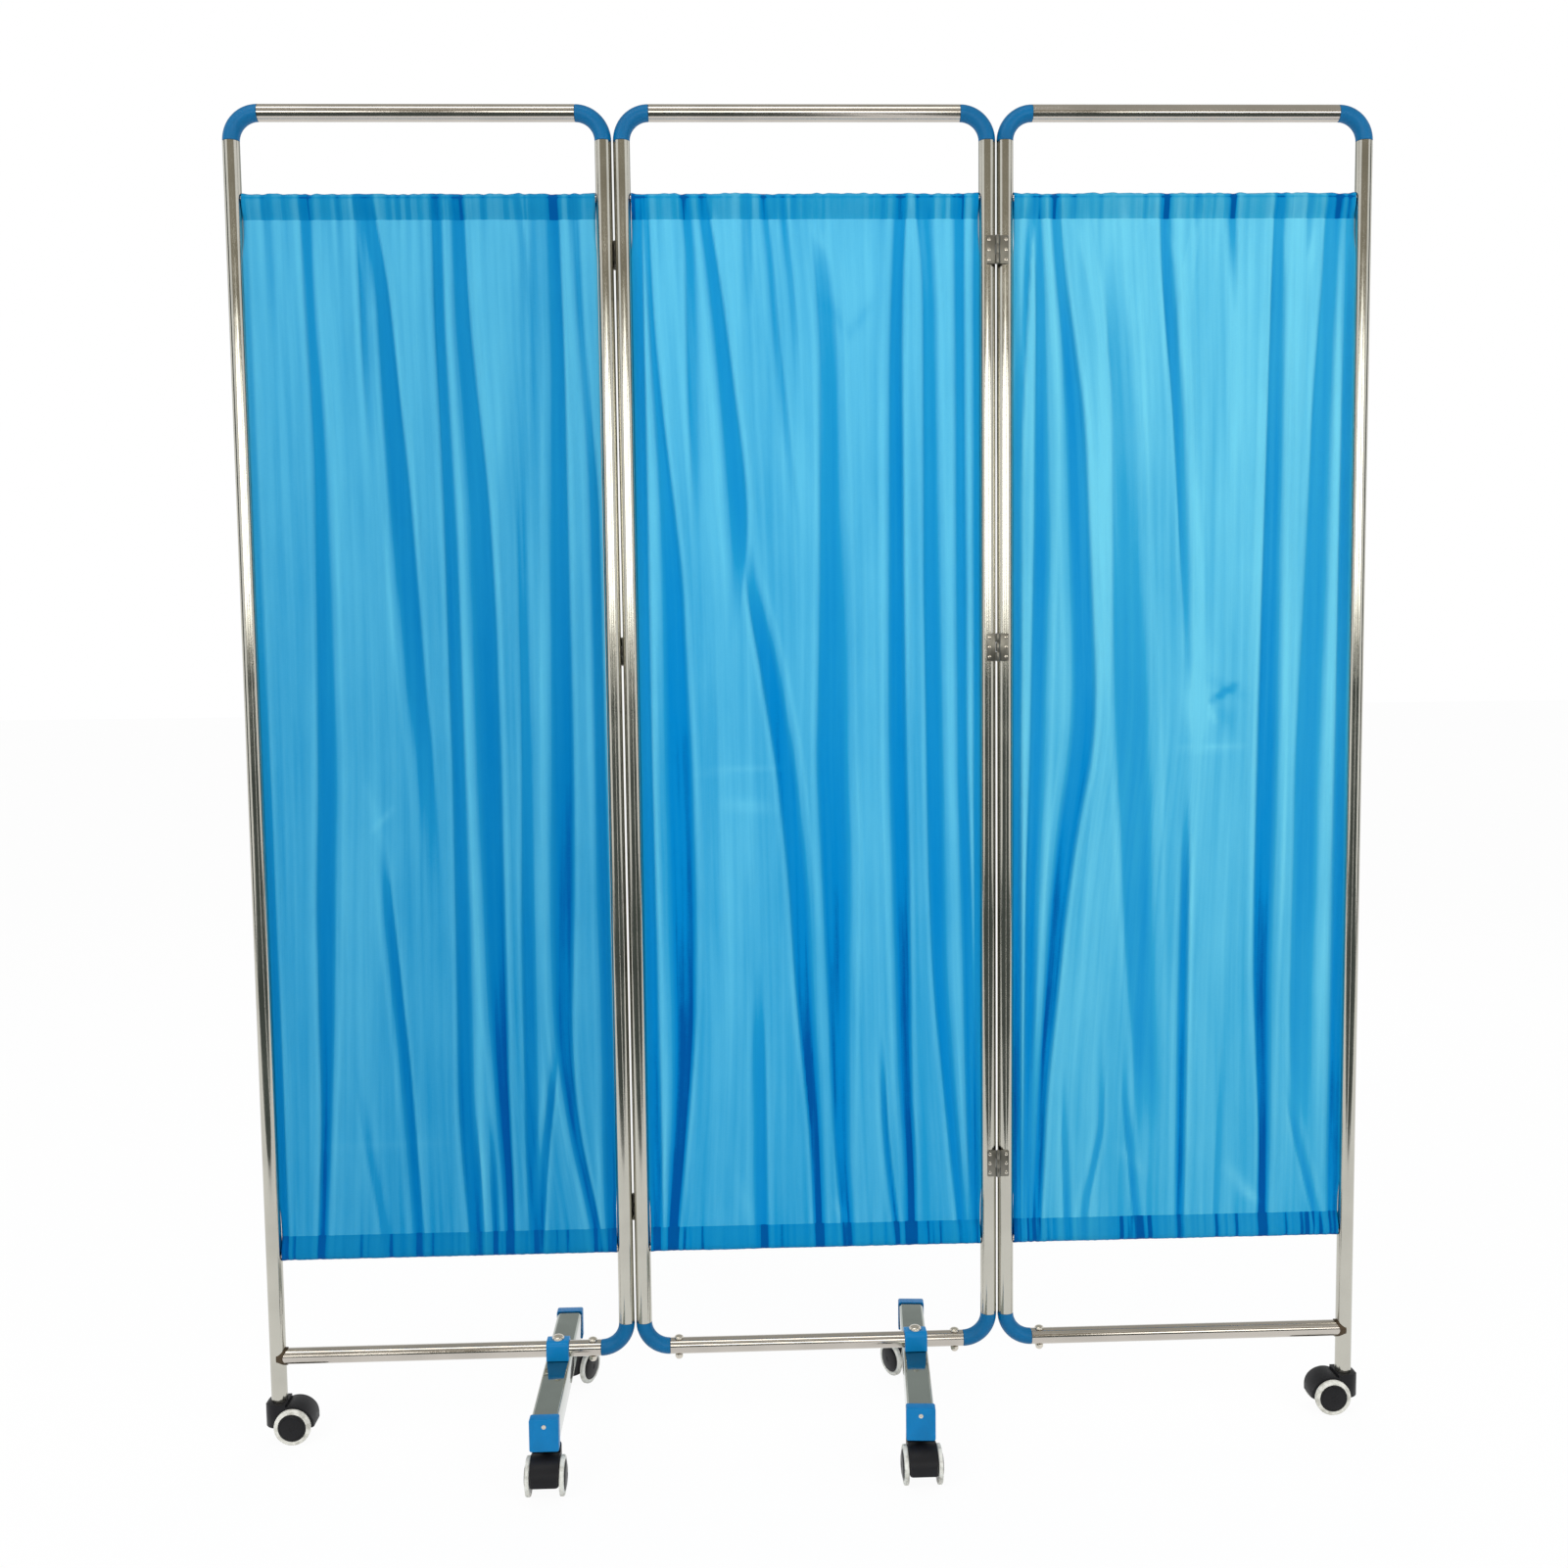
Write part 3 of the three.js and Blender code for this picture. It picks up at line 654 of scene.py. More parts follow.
def cap_screw(reach):
    profile = in_mm((0, -1.8), (1.5, -1.8), (2.9, -0.15), (2.5, -0.05), (0, 0))
    head = screw_head(profile, (3 * MM, 0.6 * MM, MM), angle=0.3)
    return moved(head, to(0, -reach, CAP_SCREW_UP), ALONG_MINUS_Y)


def foot_saddle():
    """The block between rail and foot, with a round top and the bore for the rail."""
    width, side, bottom = 31 * MM, 28 * MM, 104.3 * MM
    shape = block((width, side, SADDLE_TOP - bottom), (0, 0, (SADDLE_TOP + bottom) / 2))
    round_along(shape, 0, 8 * MM, 8, lambda middle: middle.z > RAIL_Z)
    soften(shape, 0.9 * MM, 3)
    bore = moved(cylinder(TUBE_RADIUS + FIT, width + 2 * PAST, 64), to(0, 0, RAIL_Z), ALONG_X)
    return cut(shape, bore)


def feet():
    for foot, twist in FEET.items():
        place = to(middle_of(f"{foot}_saddle").x, PLANE_Y, 0)
        turned_place = [place, about("Z", twist), to(0, 0, FOOT_Z)]
        start, end = CAP_FACE + FIT - FRONT_REACH, REAR_REACH - CAP_FACE - FIT
        outside = rounded_bar(FOOT_WIDTH, FOOT_DEPTH, start, end, FOOT_CORNER)
        inside = rounded_bar(FOOT_WIDTH - 2 * FOOT_WALL, FOOT_DEPTH - 2 * FOOT_WALL,
                             start - PAST, end + PAST, FOOT_CORNER - FOOT_WALL)
        node = f"{foot}_tube"
        box = moved(cut(outside, inside), *turned_place)
        piece(f"{node}_box", box, node, FOOT_STEEL, [node])
        for end_name, reach, turn in (("front", FRONT_REACH, 0), ("rear", REAR_REACH, math.pi)):
            node = f"{foot}_{end_name}_cap"
            at_end = [place, about("Z", twist + turn), to(0, 0, FOOT_Z)]
            piece(f"{node}_moulding", moved(foot_cap(reach), *at_end), node, CAP_BLUE, [node])
            piece(f"{node}_screw", moved(cap_screw(reach), *at_end), node, BOLT_STEEL)
        node = f"{foot}_saddle"
        piece(f"{node}_moulding", moved(foot_saddle(), place), node, CAP_BLUE, [node])
        head = moved(turned(dome(*SADDLE_BOLT)), place, to(0, 0, SADDLE_TOP - SUNK))
        piece(f"{foot}_bolt", head, node, BOLT_STEEL)


# Casters

OFFSET = 22 * MM
NECK = 12 * MM
AXLE_RADIUS = 4 * MM
COLLAR_RADIUS = 9 * MM
POST_STEM = 30 * MM
FOOT_STEM = 24 * MM
FOOT_STEM_RADIUS = 5 * MM
CASTERS = ("left_end", "left_foot_front", "left_foot_rear", "middle_foot_front",
           "middle_foot_rear", "right_end")


def hood_shape():
    """The block between the wheels, in the caster's own frame: stem on Z, wheels towards +X."""
    wide, tall = 2 * HOOD_HALF + 6 * MM, HOOD_TOP - HOOD_BOTTOM
    middle_z = (HOOD_TOP + HOOD_BOTTOM) / 2
    taller, higher_z = tall + 0.2 * MM, middle_z + 0.1 * MM
    at_axle = to(OFFSET, 0, WHEEL_RADIUS)
    fender = moved(cylinder(FENDER_RADIUS, wide, 96), at_axle, ALONG_Y)
    neck = block((HOOD_HALF + NECK, wide + 2 * MM, tall), ((NECK - HOOD_HALF) / 2, 0, middle_z))
    round_along(neck, 1, 2 * MM, 4, lambda middle: middle.x < 0 and middle.z < middle_z)
    round_along(neck, 1, 5 * MM, 6, lambda middle: middle.x < 0 and middle.z > middle_z)
    far = OFFSET + FENDER_RADIUS
    plan = block((far, 2 * HOOD_HALF, taller), (far / 2, 0, higher_z))
    round_along(plan, 2, 5 * MM, 6, lambda middle: middle.x > OFFSET)
    back = moved(cylinder(HOOD_HALF, taller, 96), to(0, 0, higher_z))
    plan = combined(plan, back, "UNION")
    side = combined(fender, neck, "UNION")
    shape = soften(combined(side, plan, "INTERSECT"), 1.1 * MM, 3, 40)
    boss = moved(cylinder(AXLE_BOSS_RADIUS, 2 * HOOD_HALF, 48), at_axle, ALONG_Y)
    return combined(shape, soften(boss, 0.5 * MM), "UNION")


def tread():
    """One tread ring on Z, its inner face at the hood."""
    near = HOOD_HALF + 0.6 * MM
    profile = [(19.3 * MM, near), (24.3 * MM, near), (WHEEL_RADIUS, near + 0.8 * MM),
               (WHEEL_RADIUS, near + 4.3 * MM), (24.7 * MM, near + 5.2 * MM),
               (23.9 * MM, near + 5.8 * MM), (19.3 * MM, near + 5.9 * MM)]
    return turned(profile, 72, closed=True)


def hub():
    """One wheel's dark hub with its shallow ring and domed cap, on Z."""
    near, far = HOOD_HALF + 0.5 * MM, HOOD_HALF + 9.1 * MM
    face = in_mm((19.2, -2.4), (18.6, -1.9), (17.4, -1.6), (16.9, -1.9), (16.2, -1.9),
                 (15.6, -1.2), (13, -0.6), (8, -0.1), (4, 0), (3.4, -0.5), (0, -0.5), base=far)
    return turned([(0, near), (19.2 * MM, near), *face], 72)


def caster(name):
    stem = Vector(JOINTS[f"{name}_caster_turn"]["pos_m"])
    wheel = Vector(JOINTS[f"{name}_caster_roll"]["pos_m"])
    heading = math.atan2(wheel.y - stem.y, wheel.x - stem.x)
    place = [to(stem.x, stem.y, 0), about("Z", heading)]
    hood, wheels = f"{name}_caster_hood", f"{name}_caster_wheels"
    centre = to(OFFSET, 0, WHEEL_RADIUS)
    axle_hole = moved(cylinder(AXLE_RADIUS + 0.5 * MM, 60 * MM, 32), centre, ALONG_Y)
    shape = cut(hood_shape(), axle_hole)
    if name.endswith("end"):
        fitting = moved(soften(cylinder(TUBE_BORE - 0.5 * MM, POST_STEM), 0.4 * MM),
                        to(0, 0, HOOD_TOP + (POST_STEM - MM) / 2))
    else:
        collar_height = FOOT_Z - FOOT_DEPTH / 2 - FIT - HOOD_TOP
        collar = moved(soften(cylinder(COLLAR_RADIUS, collar_height + MM), 0.5 * MM),
                       to(0, 0, HOOD_TOP + (collar_height - MM) / 2))
        pin = moved(soften(cylinder(FOOT_STEM_RADIUS, FOOT_STEM, 32), 0.4 * MM),
                    to(0, 0, HOOD_TOP + (FOOT_STEM + MM) / 2))
        fitting = together(collar, pin)
    piece(f"{hood}_moulding", moved(shape, *place), hood, HOOD_BLACK, [hood])
    piece(f"{name}_caster_stem", moved(fitting, *place), hood, HUB_BLACK)
    for side, way in (("a", ALONG_Y), ("b", ALONG_MINUS_Y)):
        stands_for = [wheels] if side == "a" else []
        at_wheel = [*place, centre, way]
        piece(f"{name}_caster_tread_{side}", moved(tread(), *at_wheel), wheels, TREAD_CREAM,
              stands_for)
        piece(f"{name}_caster_hub_{side}", moved(hub(), *at_wheel), wheels, HUB_BLACK)
    axle = moved(cylinder(AXLE_RADIUS, 2 * HOOD_HALF + 2 * MM, 32), *place, centre, ALONG_Y)
    piece(f"{name}_caster_axle", axle, wheels, BOLT_STEEL)


# Curtains

# How the sheet runs: from the seam at the back of the rod pocket over the rod, down the front,
# under the hem rod and up to the hem's seam. Each row has its height, its distance behind the
# panel's plane and its share of the folds' depth. The cloth is double between the seams.
HEAD_ROWS = [
    (1653, 0.7, 0.5), (1660, 2.0, 0.4), (1667, 3.7, 0.2), (1673, 5.0, 0), (1680, 5.4, -0.1),
    (1684, 4.6, -0.1), (1686.2, 2.4, -0.05), (1687, 0, 0), (1686.2, -2.4, 0.05), (1684, -4.6, 0.1),
    (1681.6, -5.2, 0.11), (1680, -5.4, 0.12), (1678.4, -5.4, 0.14), (1676, -5.3, 0.2),
    (1671, -4.6, 0.3), (1665, -3.2, 0.4), (1659, -1.8, 0.46), (1653, -0.7, 0.5),
]
HEM_ROWS = [
    (287, -0.7, 0.5), (281, -1.8, 0.42), (275, -3.3, 0.34), (269, -4.6, 0.24), (264, -5.3, 0.16),
    (260, -5.4, 0.12), (256, -4.4, 0.1), (253.8, -2.4, 0.05), (253, 0, 0), (253.8, 2.4, -0.05),
    (256, 4.4, -0.1), (260, 5.4, -0.1), (266, 5.1, 0), (273, 3.8, 0.2), (280, 2.0, 0.4),
    (287, 0.7, 0.5),
]

# In millimetres, as the rows are: the cloth's distance behind its seams, the rows' spacing, the
# way from each seam over which the single cloth comes back to the middle and over which the folds
# become deep, the folds' full depth and the curtain's size.
SEAM_GAP = 0.7
BODY_STEP = 7
SEAM_EASE = 40
DEEP_FROM_HEAD = 120
DEEP_FROM_HEM = 100
VALLEY_DEPTH = 4.2
CURTAIN_WIDE = 2 * CURTAIN_HALF / MM
CURTAIN_LONG = (CURTAIN_TOP - CURTAIN_BOTTOM) / MM
COLUMNS = 200

# The cloth's unevenness: how many waves, and how many times the finest one repeats across and down.
SWELL = (14, 6, 1.2)
STREAKS = (20, 38, 2.5)
RUFFLE = (18, 42, 0.1)
PUCKER = (18, 60, 0.1)

# How far the header's and the hem's crimps reach into the cloth, in shares of its height, how wide
# its side edges are, in shares of its width, and how far they curl, in millimetres.
HEAD_CRIMP = 0.09
HEM_CRIMP = 0.08
EDGE = 0.02
CURL_FORWARD = 5.5
CURL_OUT = 1.2

# Folds: each point has its share of the way down and of the way across, the fold's width there
# in millimetres and how deep and dark it is, from 0 to 1, the dark partly for the cloth's layers
# and partly painted shade. Below 0 it stands forward and gets a painted highlight.
FOLDS = {
    "left": [
        [(0, .006, 9, .4), (.5, .006, 10, .5), (1, .006, 12, .8)],
        [(0, .07, 10, .45), (.07, .07, 10, .2), (.14, .073, 9, 0)],
        [(0, .175, 14, .85), (.09, .178, 14, .65), (.19, .19, 16, .65), (.27, .193, 18, .65),
         (.38, .19, 20, .7), (.53, .183, 24, .8), (.66, .165, 24, .85), (.78, .154, 18, .9),
         (.86, .145, 12, .9), (1, .117, 10, .9)],
        [(0, .27, 7, .4), (.05, .275, 7, .2), (.1, .28, 7, 0)],
        [(0, .345, 18, .95), (.085, .385, 18, 1), (.15, .393, 22, 1), (.25, .415, 26, 1),
         (.35, .431, 26, .9), (.46, .45, 24, .75), (.53, .467, 22, .4), (.65, .485, 20, 0)],
        [(0, .325, 12, .8), (.06, .332, 12, .75), (.15, .337, 13, .55), (.26, .35, 12, 0)],
        [(.6, .335, 10, 0), (.68, .352, 12, .8), (.82, .385, 12, .85), (1, .412, 12, .85)],
        [(0, .547, 14, .9), (.11, .545, 13, .8), (.21, .552, 13, .75), (.31, .56, 15, .75),
         (.53, .566, 16, .8), (.78, .562, 18, .9), (.86, .558, 18, 1), (1, .578, 15, 1)],
        [(0, .605, 16, .95), (.11, .61, 20, .9), (.19, .628, 22, .9), (.27, .645, 26, .95),
         (.38, .652, 30, 1), (.53, .654, 30, 1), (.74, .66, 24, 1), (.84, .668, 16, 1),
         (.94, .68, 12, 1), (1, .68, 12, 1)],
        [(.86, .58, 7, 0), (.9, .587, 8, .8), (1, .595, 8, .8)],
        [(.87, .633, 7, 0), (.91, .636, 8, .8), (1, .64, 8, .8)],
        [(.25, .765, 10, 0), (.31, .765, 12, .35), (.53, .765, 14, .5), (.66, .757, 16, .7),
         (.9, .752, 16, .8), (1, .755, 14, .8)],
        [(0, .77, 9, .5), (.04, .79, 8, .4), (.1, .795, 8, .25), (.15, .79, 8, 0)],
        [(.8, .83, 8, 0), (.84, .815, 9, .8), (.9, .79, 9, .8), (1, .768, 9, .8)],
        [(0, .83, 16, .35), (.12, .825, 18, .3), (.25, .82, 18, 0)],
        [(0, .875, 16, .95), (.15, .882, 18, .95), (.27, .877, 22, .95), (.53, .868, 28, 1),
         (.66, .86, 28, 1), (.78, .852, 22, 1), (.83, .862, 16, 1), (.9, .89, 12, 1),
         (.95, .925, 12, 1), (1, .95, 12, 1)],
        [(0, .94, 10, .75), (.09, .947, 9, .65), (.19, .963, 9, .55), (.27, .978, 12, .7),
         (1, .985, 14, .9)],
        [(.81, .24, 10, 0), (.88, .262, 11, .25), (1, .32, 10, .3)],
        [(.04, .225, 20, 0), (.08, .225, 24, -.15), (.2, .235, 20, -.12), (.3, .25, 20, 0)],
        [(.02, .46, 30, 0), (.05, .462, 34, -.15), (.16, .47, 26, -.1), (.25, .48, 20, 0)],
        [(.02, .69, 24, 0), (.05, .69, 28, -.15), (.2, .7, 22, -.1), (.3, .7, 20, 0)],
        [(.5, .25, 50, 0), (.62, .25, 56, -.14), (.9, .22, 56, -.12), (1, .22, 40, 0)],
    ],
    "middle": [
        [(0, .014, 15, .95), (.5, .014, 15, .9), (1, .018, 18, .9)],
        [(0, .04, 8, .8), (.11, .05, 8, .75), (.19, .065, 10, .85), (.27, .085, 16, .9),
         (.35, .1, 24, .95), (.53, .108, 34, 1), (.66, .113, 34, 1), (.78, .113, 28, 1),
         (.86, .1, 20, 1), (1, .062, 14, 1)],
        [(0, .15, 12, .9), (.03, .165, 13, .65), (.19, .168, 14, .6), (.26, .172, 12, .35),
         (.32, .175, 10, 0)],
        [(0, .2, 12, .9), (.08, .235, 16, .95), (.15, .257, 19, .95), (.23, .282, 24, .95),
         (.3, .295, 26, .8), (.35, .292, 16, .5), (.39, .28, 10, 0)],
        [(.33, .32, 10, 0), (.37, .335, 18, .8), (.42, .37, 22, 1), (.48, .4, 24, 1),
         (.53, .425, 24, 1), (.64, .457, 24, 1), (.74, .47, 22, 1), (.82, .487, 18, 1),
         (.88, .5, 14, 1), (1, .512, 12, 1)],
        [(0, .33, 13, .75), (.05, .33, 14, .4), (.13, .325, 14, 0)],
        [(0, .375, 9, .75), (.05, .393, 8, .5), (.14, .415, 8, .45), (.23, .443, 8, .3),
         (.32, .47, 8, 0)],
        [(0, .428, 10, .7), (.05, .445, 9, .4), (.1, .462, 8, .3), (.2, .478, 8, 0)],
        [(.03, .53, 14, 0), (.07, .545, 20, .55), (.1, .555, 22, .6), (.15, .563, 24, .7),
         (.38, .565, 32, .75), (.53, .56, 38, .85), (.63, .57, 36, .9), (.74, .575, 28, .9),
         (.9, .58, 18, .9), (1, .597, 14, .9)],
        [(.74, .335, 10, 0), (.8, .335, 16, .55), (1, .335, 17, .65)],
        [(.38, .21, 10, 0), (.45, .21, 10, .14), (.7, .215, 10, .16), (.8, .22, 10, 0)],
        [(.1, .69, 10, 0), (.15, .69, 10, .16), (.26, .69, 10, .16), (.33, .69, 10, 0)],
        [(.81, .703, 5, 0), (.83, .706, 7, .8), (.9, .715, 7, .8), (1, .752, 7, .8)],
        [(0, .776, 15, .95), (.07, .765, 14, .95), (.15, .757, 16, 1), (.53, .757, 22, 1),
         (.63, .765, 22, 1), (.84, .775, 16, 1), (.92, .79, 12, 1), (1, .79, 12, 1)],
        [(0, .832, 17, .9), (.04, .843, 15, .6), (.08, .855, 16, .7), (.38, .86, 20, .75),
         (.63, .87, 20, .8), (.74, .88, 18, .8), (.84, .905, 14, .8), (1, .95, 12, .8)],
        [(0, .945, 13, .9), (.1, .945, 13, .8), (.53, .95, 13, .75), (.66, .962, 13, .75),
         (1, .983, 12, .8)],
        [(0, .993, 9, .7), (1, .993, 9, .7)],
        [(.02, .1, 30, 0), (.06, .1, 34, -.12), (.2, .12, 26, -.1), (.28, .14, 20, 0)],
        [(.02, .65, 50, 0), (.05, .65, 56, -.16), (.2, .66, 40, -.1), (.35, .66, 34, 0)],
        [(.02, .905, 18, 0), (.05, .905, 20, -.14), (.6, .912, 18, -.08), (.8, .92, 14, 0)],
        [(.18, .44, 40, 0), (.25, .46, 44, -.12), (.33, .47, 40, 0)],
        [(.5, .24, 40, 0), (.6, .25, 48, -.12), (.9, .22, 44, -.1), (1, .2, 40, 0)],
    ],
    "right": [
        [(0, .01, 9, .4), (.2, .01, 12, .7), (.4, .01, 12, .9), (1, .01, 14, .9)],
        [(0, .058, 10, 1), (.05, .045, 9, .8), (.1, .036, 8, .7), (.2, .02, 9, .6),
         (.3, .012, 8, 0)],
        [(0, .065, 9, .95), (.08, .08, 13, .9), (.31, .085, 20, .9), (.53, .07, 18, .85),
         (.66, .055, 16, .8), (1, .04, 12, .8)],
        [(0, .12, 11, 1), (.07, .137, 13, 1), (.13, .16, 16, 1), (.21, .185, 24, 1),
         (.385, .205, 28, 1), (.46, .213, 30, 1), (.52, .205, 30, 1), (.587, .168, 26, 1),
         (.665, .138, 22, 1), (.743, .118, 18, 1), (.84, .09, 14, 1), (1, .068, 12, 1)],
        [(.05, .29, 20, 0), (.12, .305, 30, .45), (.19, .325, 32, .55), (.385, .34, 42, .6),
         (.53, .36, 44, .6), (.7, .38, 38, .6), (.82, .4, 30, .45), (.9, .41, 26, 0)],
        [(0, .44, 15, 1), (.07, .45, 15, 1), (.13, .468, 16, .95), (.19, .486, 15, .85),
         (.27, .5, 13, .7), (.35, .513, 12, .55), (.46, .53, 10, 0)],
        [(.57, .52, 8, 0), (.64, .52, 10, .85), (.78, .515, 12, .9), (1, .51, 11, .9)],
        [(0, .54, 9, .7), (.03, .54, 8, .35), (.06, .54, 8, 0)],
        [(0, .635, 14, .9), (.03, .642, 11, .8), (.07, .648, 9, .5), (.12, .652, 8, 0)],
        [(0, .78, 15, 1), (.15, .775, 19, 1), (.385, .768, 24, 1), (.63, .76, 26, 1),
         (.74, .755, 22, 1), (.9, .77, 14, 1), (1, .765, 13, 1)],
        [(0, .87, 10, .8), (.04, .865, 7, .5), (.08, .86, 7, 0)],
        [(0, .94, 22, .9), (.09, .93, 22, .7), (.19, .915, 26, .65), (.385, .9, 30, .65),
         (.53, .885, 32, .65), (.78, .875, 30, .55), (.86, .878, 26, .35), (.92, .88, 20, 0)],
        [(.85, .835, 8, 0), (.9, .87, 10, .5), (1, .95, 10, .5)],
        [(0, .987, 12, .8), (.5, .985, 13, .9), (1, .985, 16, .9)],
        [(.84, .155, 5, 0), (.88, .155, 8, .45), (1, .165, 9, .6)],
        [(.8, .265, 6, 0), (.87, .27, 8, .45), (.91, .265, 8, .5), (.94, .225, 9, .5),
         (1, .215, 9, .5)],
        [(.84, .335, 5, 0), (.87, .345, 9, .5), (1, .385, 9, .55)],
        [(.78, .645, 8, 0), (.86, .635, 8, .2), (1, .62, 8, .3)],
        [(.005, .2, 12, -.1), (.06, .225, 16, -.4), (.12, .26, 14, -.3), (.16, .265, 10, 0)],
        [(.01, .3, 10, -.1), (.05, .35, 14, -.35), (.09, .385, 10, -.3), (.12, .38, 8, 0)],
        [(.01, .545, 10, -.1), (.07, .51, 14, -.4), (.12, .5, 20, -.35), (.25, .52, 22, -.3),
         (.45, .56, 24, -.3), (.6, .55, 20, -.15), (.8, .56, 20, 0)],
        [(.03, .65, 10, -.1), (.1, .655, 20, -.35), (.2, .655, 18, -.35), (.27, .655, 8, 0)],
        [(.03, .86, 10, -.1), (.09, .845, 18, -.4), (.2, .83, 20, -.35), (.5, .82, 18, -.2),
         (.75, .8, 16, 0)],
        [(.1, .73, 8, 0), (.2, .735, 12, -.25), (.4, .72, 12, -.3), (.55, .715, 10, -.2),
         (.75, .71, 10, 0)],
        [(.05, .255, 10, 0), (.2, .27, 16, -.25), (.4, .275, 18, -.25), (.6, .25, 20, -.2),
         (.8, .2, 20, -.1), (.9, .2, 20, 0)],
        [(.05, .955, 8, 0), (.2, .955, 12, -.3), (.5, .95, 14, -.3), (.8, .94, 12, -.2),
         (1, .96, 10, 0)],
    ],
}

# Creases that don't hang down: two ends, each a share of the way down and across, the width and
# the height in millimetres and how much painted light goes on them, below 0 painted shade.
CREASES = {
    "left": [((.585, .31), (.565, .37), 4, .8, .2), ((.89, .12), (.888, .5), 6, .4, .06),
             ((.545, .3), (.63, .36), 7, .6, .12)],
    "middle": [((.535, .16), (.53, .42), 4, .5, .14), ((.565, .24), (.57, .38), 9, .7, .16),
               ((.565, .3), (.64, .31), 6, .8, .1), ((.025, .235), (.05, .27), 7, 1, .25),
               ((.03, .52), (.055, .57), 8, 1, .22), ((.13, .62), (.1, .57), 7, -.6, -.14),
               ((.13, .62), (.1, .69), 7, -.6, -.14), ((.955, .56), (.975, .59), 6, .9, .2),
               ((.93, .27), (.975, .3), 8, .9, .16)],
    "right": [((.455, .54), (.5, .55), 15, 1.6, .35), ((.473, .565), (.4925, .605), 5, 1.2, .3),
              ((.473, .59), (.459, .667), 5, -1.2, -.5), ((.478, .63), (.5, .645), 11, -.8, -.2),
              ((.5187, .5), (.5175, .69), 5, .7, .2),
              ((.45, .57), (.47, .7), 7, -.7, -.12), ((.93, .66), (.955, .72), 9, 1, .2),
              ((.95, .7), (.965, .755), 7, 1.2, .25), ((.905, .32), (.93, .39), 8, .8, .14),
              ((.025, .18), (.1, .248), 5, .8, .2), ((.035, .454), (.078, .492), 4, .7, .16),
              ((.024, .546), (.078, .508), 5, .8, .18), ((.027, .786), (.085, .813), 4, .7, .14),
              ((.024, .9), (.11, .832), 5, .8, .2)],
}
SEEDS = {"left": 3, "middle": 8, "right": 21}


def eased(share):
    """Goes smoothly from 0 to 1 as share does."""
    share = np.clip(share, 0, 1)
    return share * share * (3 - 2 * share)


def along(points, down):
    """A fold's share across, width and depth at each share down, with its corners rounded."""
    marks, *values = np.array(points, float).T
    spread = np.linspace(-0.03, 0.03, 7)
    return [np.mean([np.interp(down + step, marks, value) for step in spread], axis=0)
            for value in values]


def curtain_rows():
    """Height, distance behind the plane, depth share and doubled share of every row."""
    top, bottom = HEAD_ROWS[-1][0] - SEAM_GAP, HEM_ROWS[0][0] + SEAM_GAP
    count = round((top - bottom) / BODY_STEP)
    body = []
    for step in range(count + 1):
        z = top + (bottom - top) * step / count
        depth = 0.5 * (eased((top - z) / DEEP_FROM_HEAD) + eased((z - bottom) / DEEP_FROM_HEM))
        behind = SEAM_GAP * (eased(min(top - z, z - bottom) / SEAM_EASE) - 1)
        body.append((z, behind, depth, 0))
    rows = [(*row, 1) for row in HEAD_ROWS] + body + [(*row, 1) for row in HEM_ROWS]
    return np.array(rows, float)


def waves(rng, across, down, count, finest, tallest):
    """Soft random unevenness, the same for the same seed, about 1 at its most."""
    total = np.zeros(np.broadcast(across, down).shape)
    for _ in range(count):
        width = rng.uniform(2, finest)
        height = rng.uniform(0, tallest)
        lean = rng.uniform(-1, 1) * min(1, tallest)
        phase = rng.uniform(0, TURN)
        turns = width * across + height * down + lean * down
        total += np.sin(TURN * turns + phase) / width ** 0.5
    return total / np.abs(total).max()


def columns_along_folds(folds, down):
    """Each column's share across in every row. Columns follow the folds that hang all the way."""
    whole = sorted((fold for fold in folds if fold[0][0] < 0.05 and fold[-1][0] > 0.95),
                   key=lambda fold: np.mean(along(fold, down)[0]))
    places = np.array([along(fold, down)[0] for fold in whole])
    marks = [0, *places.mean(axis=1), 1]
    even = np.linspace(0, 1, COLUMNS)
    return np.array([np.interp(even, marks, [0, *line, 1]) for line in places.T])


def gathered_folds(rng, folds, x, down):
    """How far each point lies in a fold, and how far forward it stands beside the folds."""
    inside, forward = np.zeros_like(x), np.zeros_like(x)
    for fold in folds:
        across, wide, depth = (value[:, None] for value in along(fold, down))
        offset = x - across * CURTAIN_WIDE
        sides = rng.permutation([0.75, 1.5])
        soft = (3 + 0.2 * wide) * np.where(offset < 0, *sides)
        band = eased((wide / 2 - np.abs(offset)) / soft + 0.5)
        if np.min(depth) < 0:
            forward += band * -depth
        else:
            inside = inside + band * depth * (1 - inside)
            # The ridge beside each fold stands forward, and curtain_form paints a highlight where
            # the cloth stands forward.
            ridge = np.exp(-((np.abs(offset) - wide / 2 - soft) / 3.5) ** 2)
            forward += 0.3 * ridge * depth
    return inside, forward


def creases(panel, x, z):
    """Height of the creases that cross the curtain, and the painted light and shade on them."""
    height, light = np.zeros_like(x), np.zeros_like(x)
    for *ends, wide, tall, shade in CREASES[panel]:
        start, end = (np.array([across * CURTAIN_WIDE, CURTAIN_TOP / MM - down * CURTAIN_LONG])
                      for down, across in ends)
        run = end - start
        share = np.clip(((x - start[0]) * run[0] + (z - start[1]) * run[1]) / (run @ run), 0, 1)
        away = np.hypot(x - start[0] - share * run[0], z - start[1] - share * run[1])
        ridge = np.exp(-(away / wide) ** 2) * (0.4 + 0.6 * np.sin(math.pi * share))
        height += tall * ridge
        light += shade * ridge
    return height, light


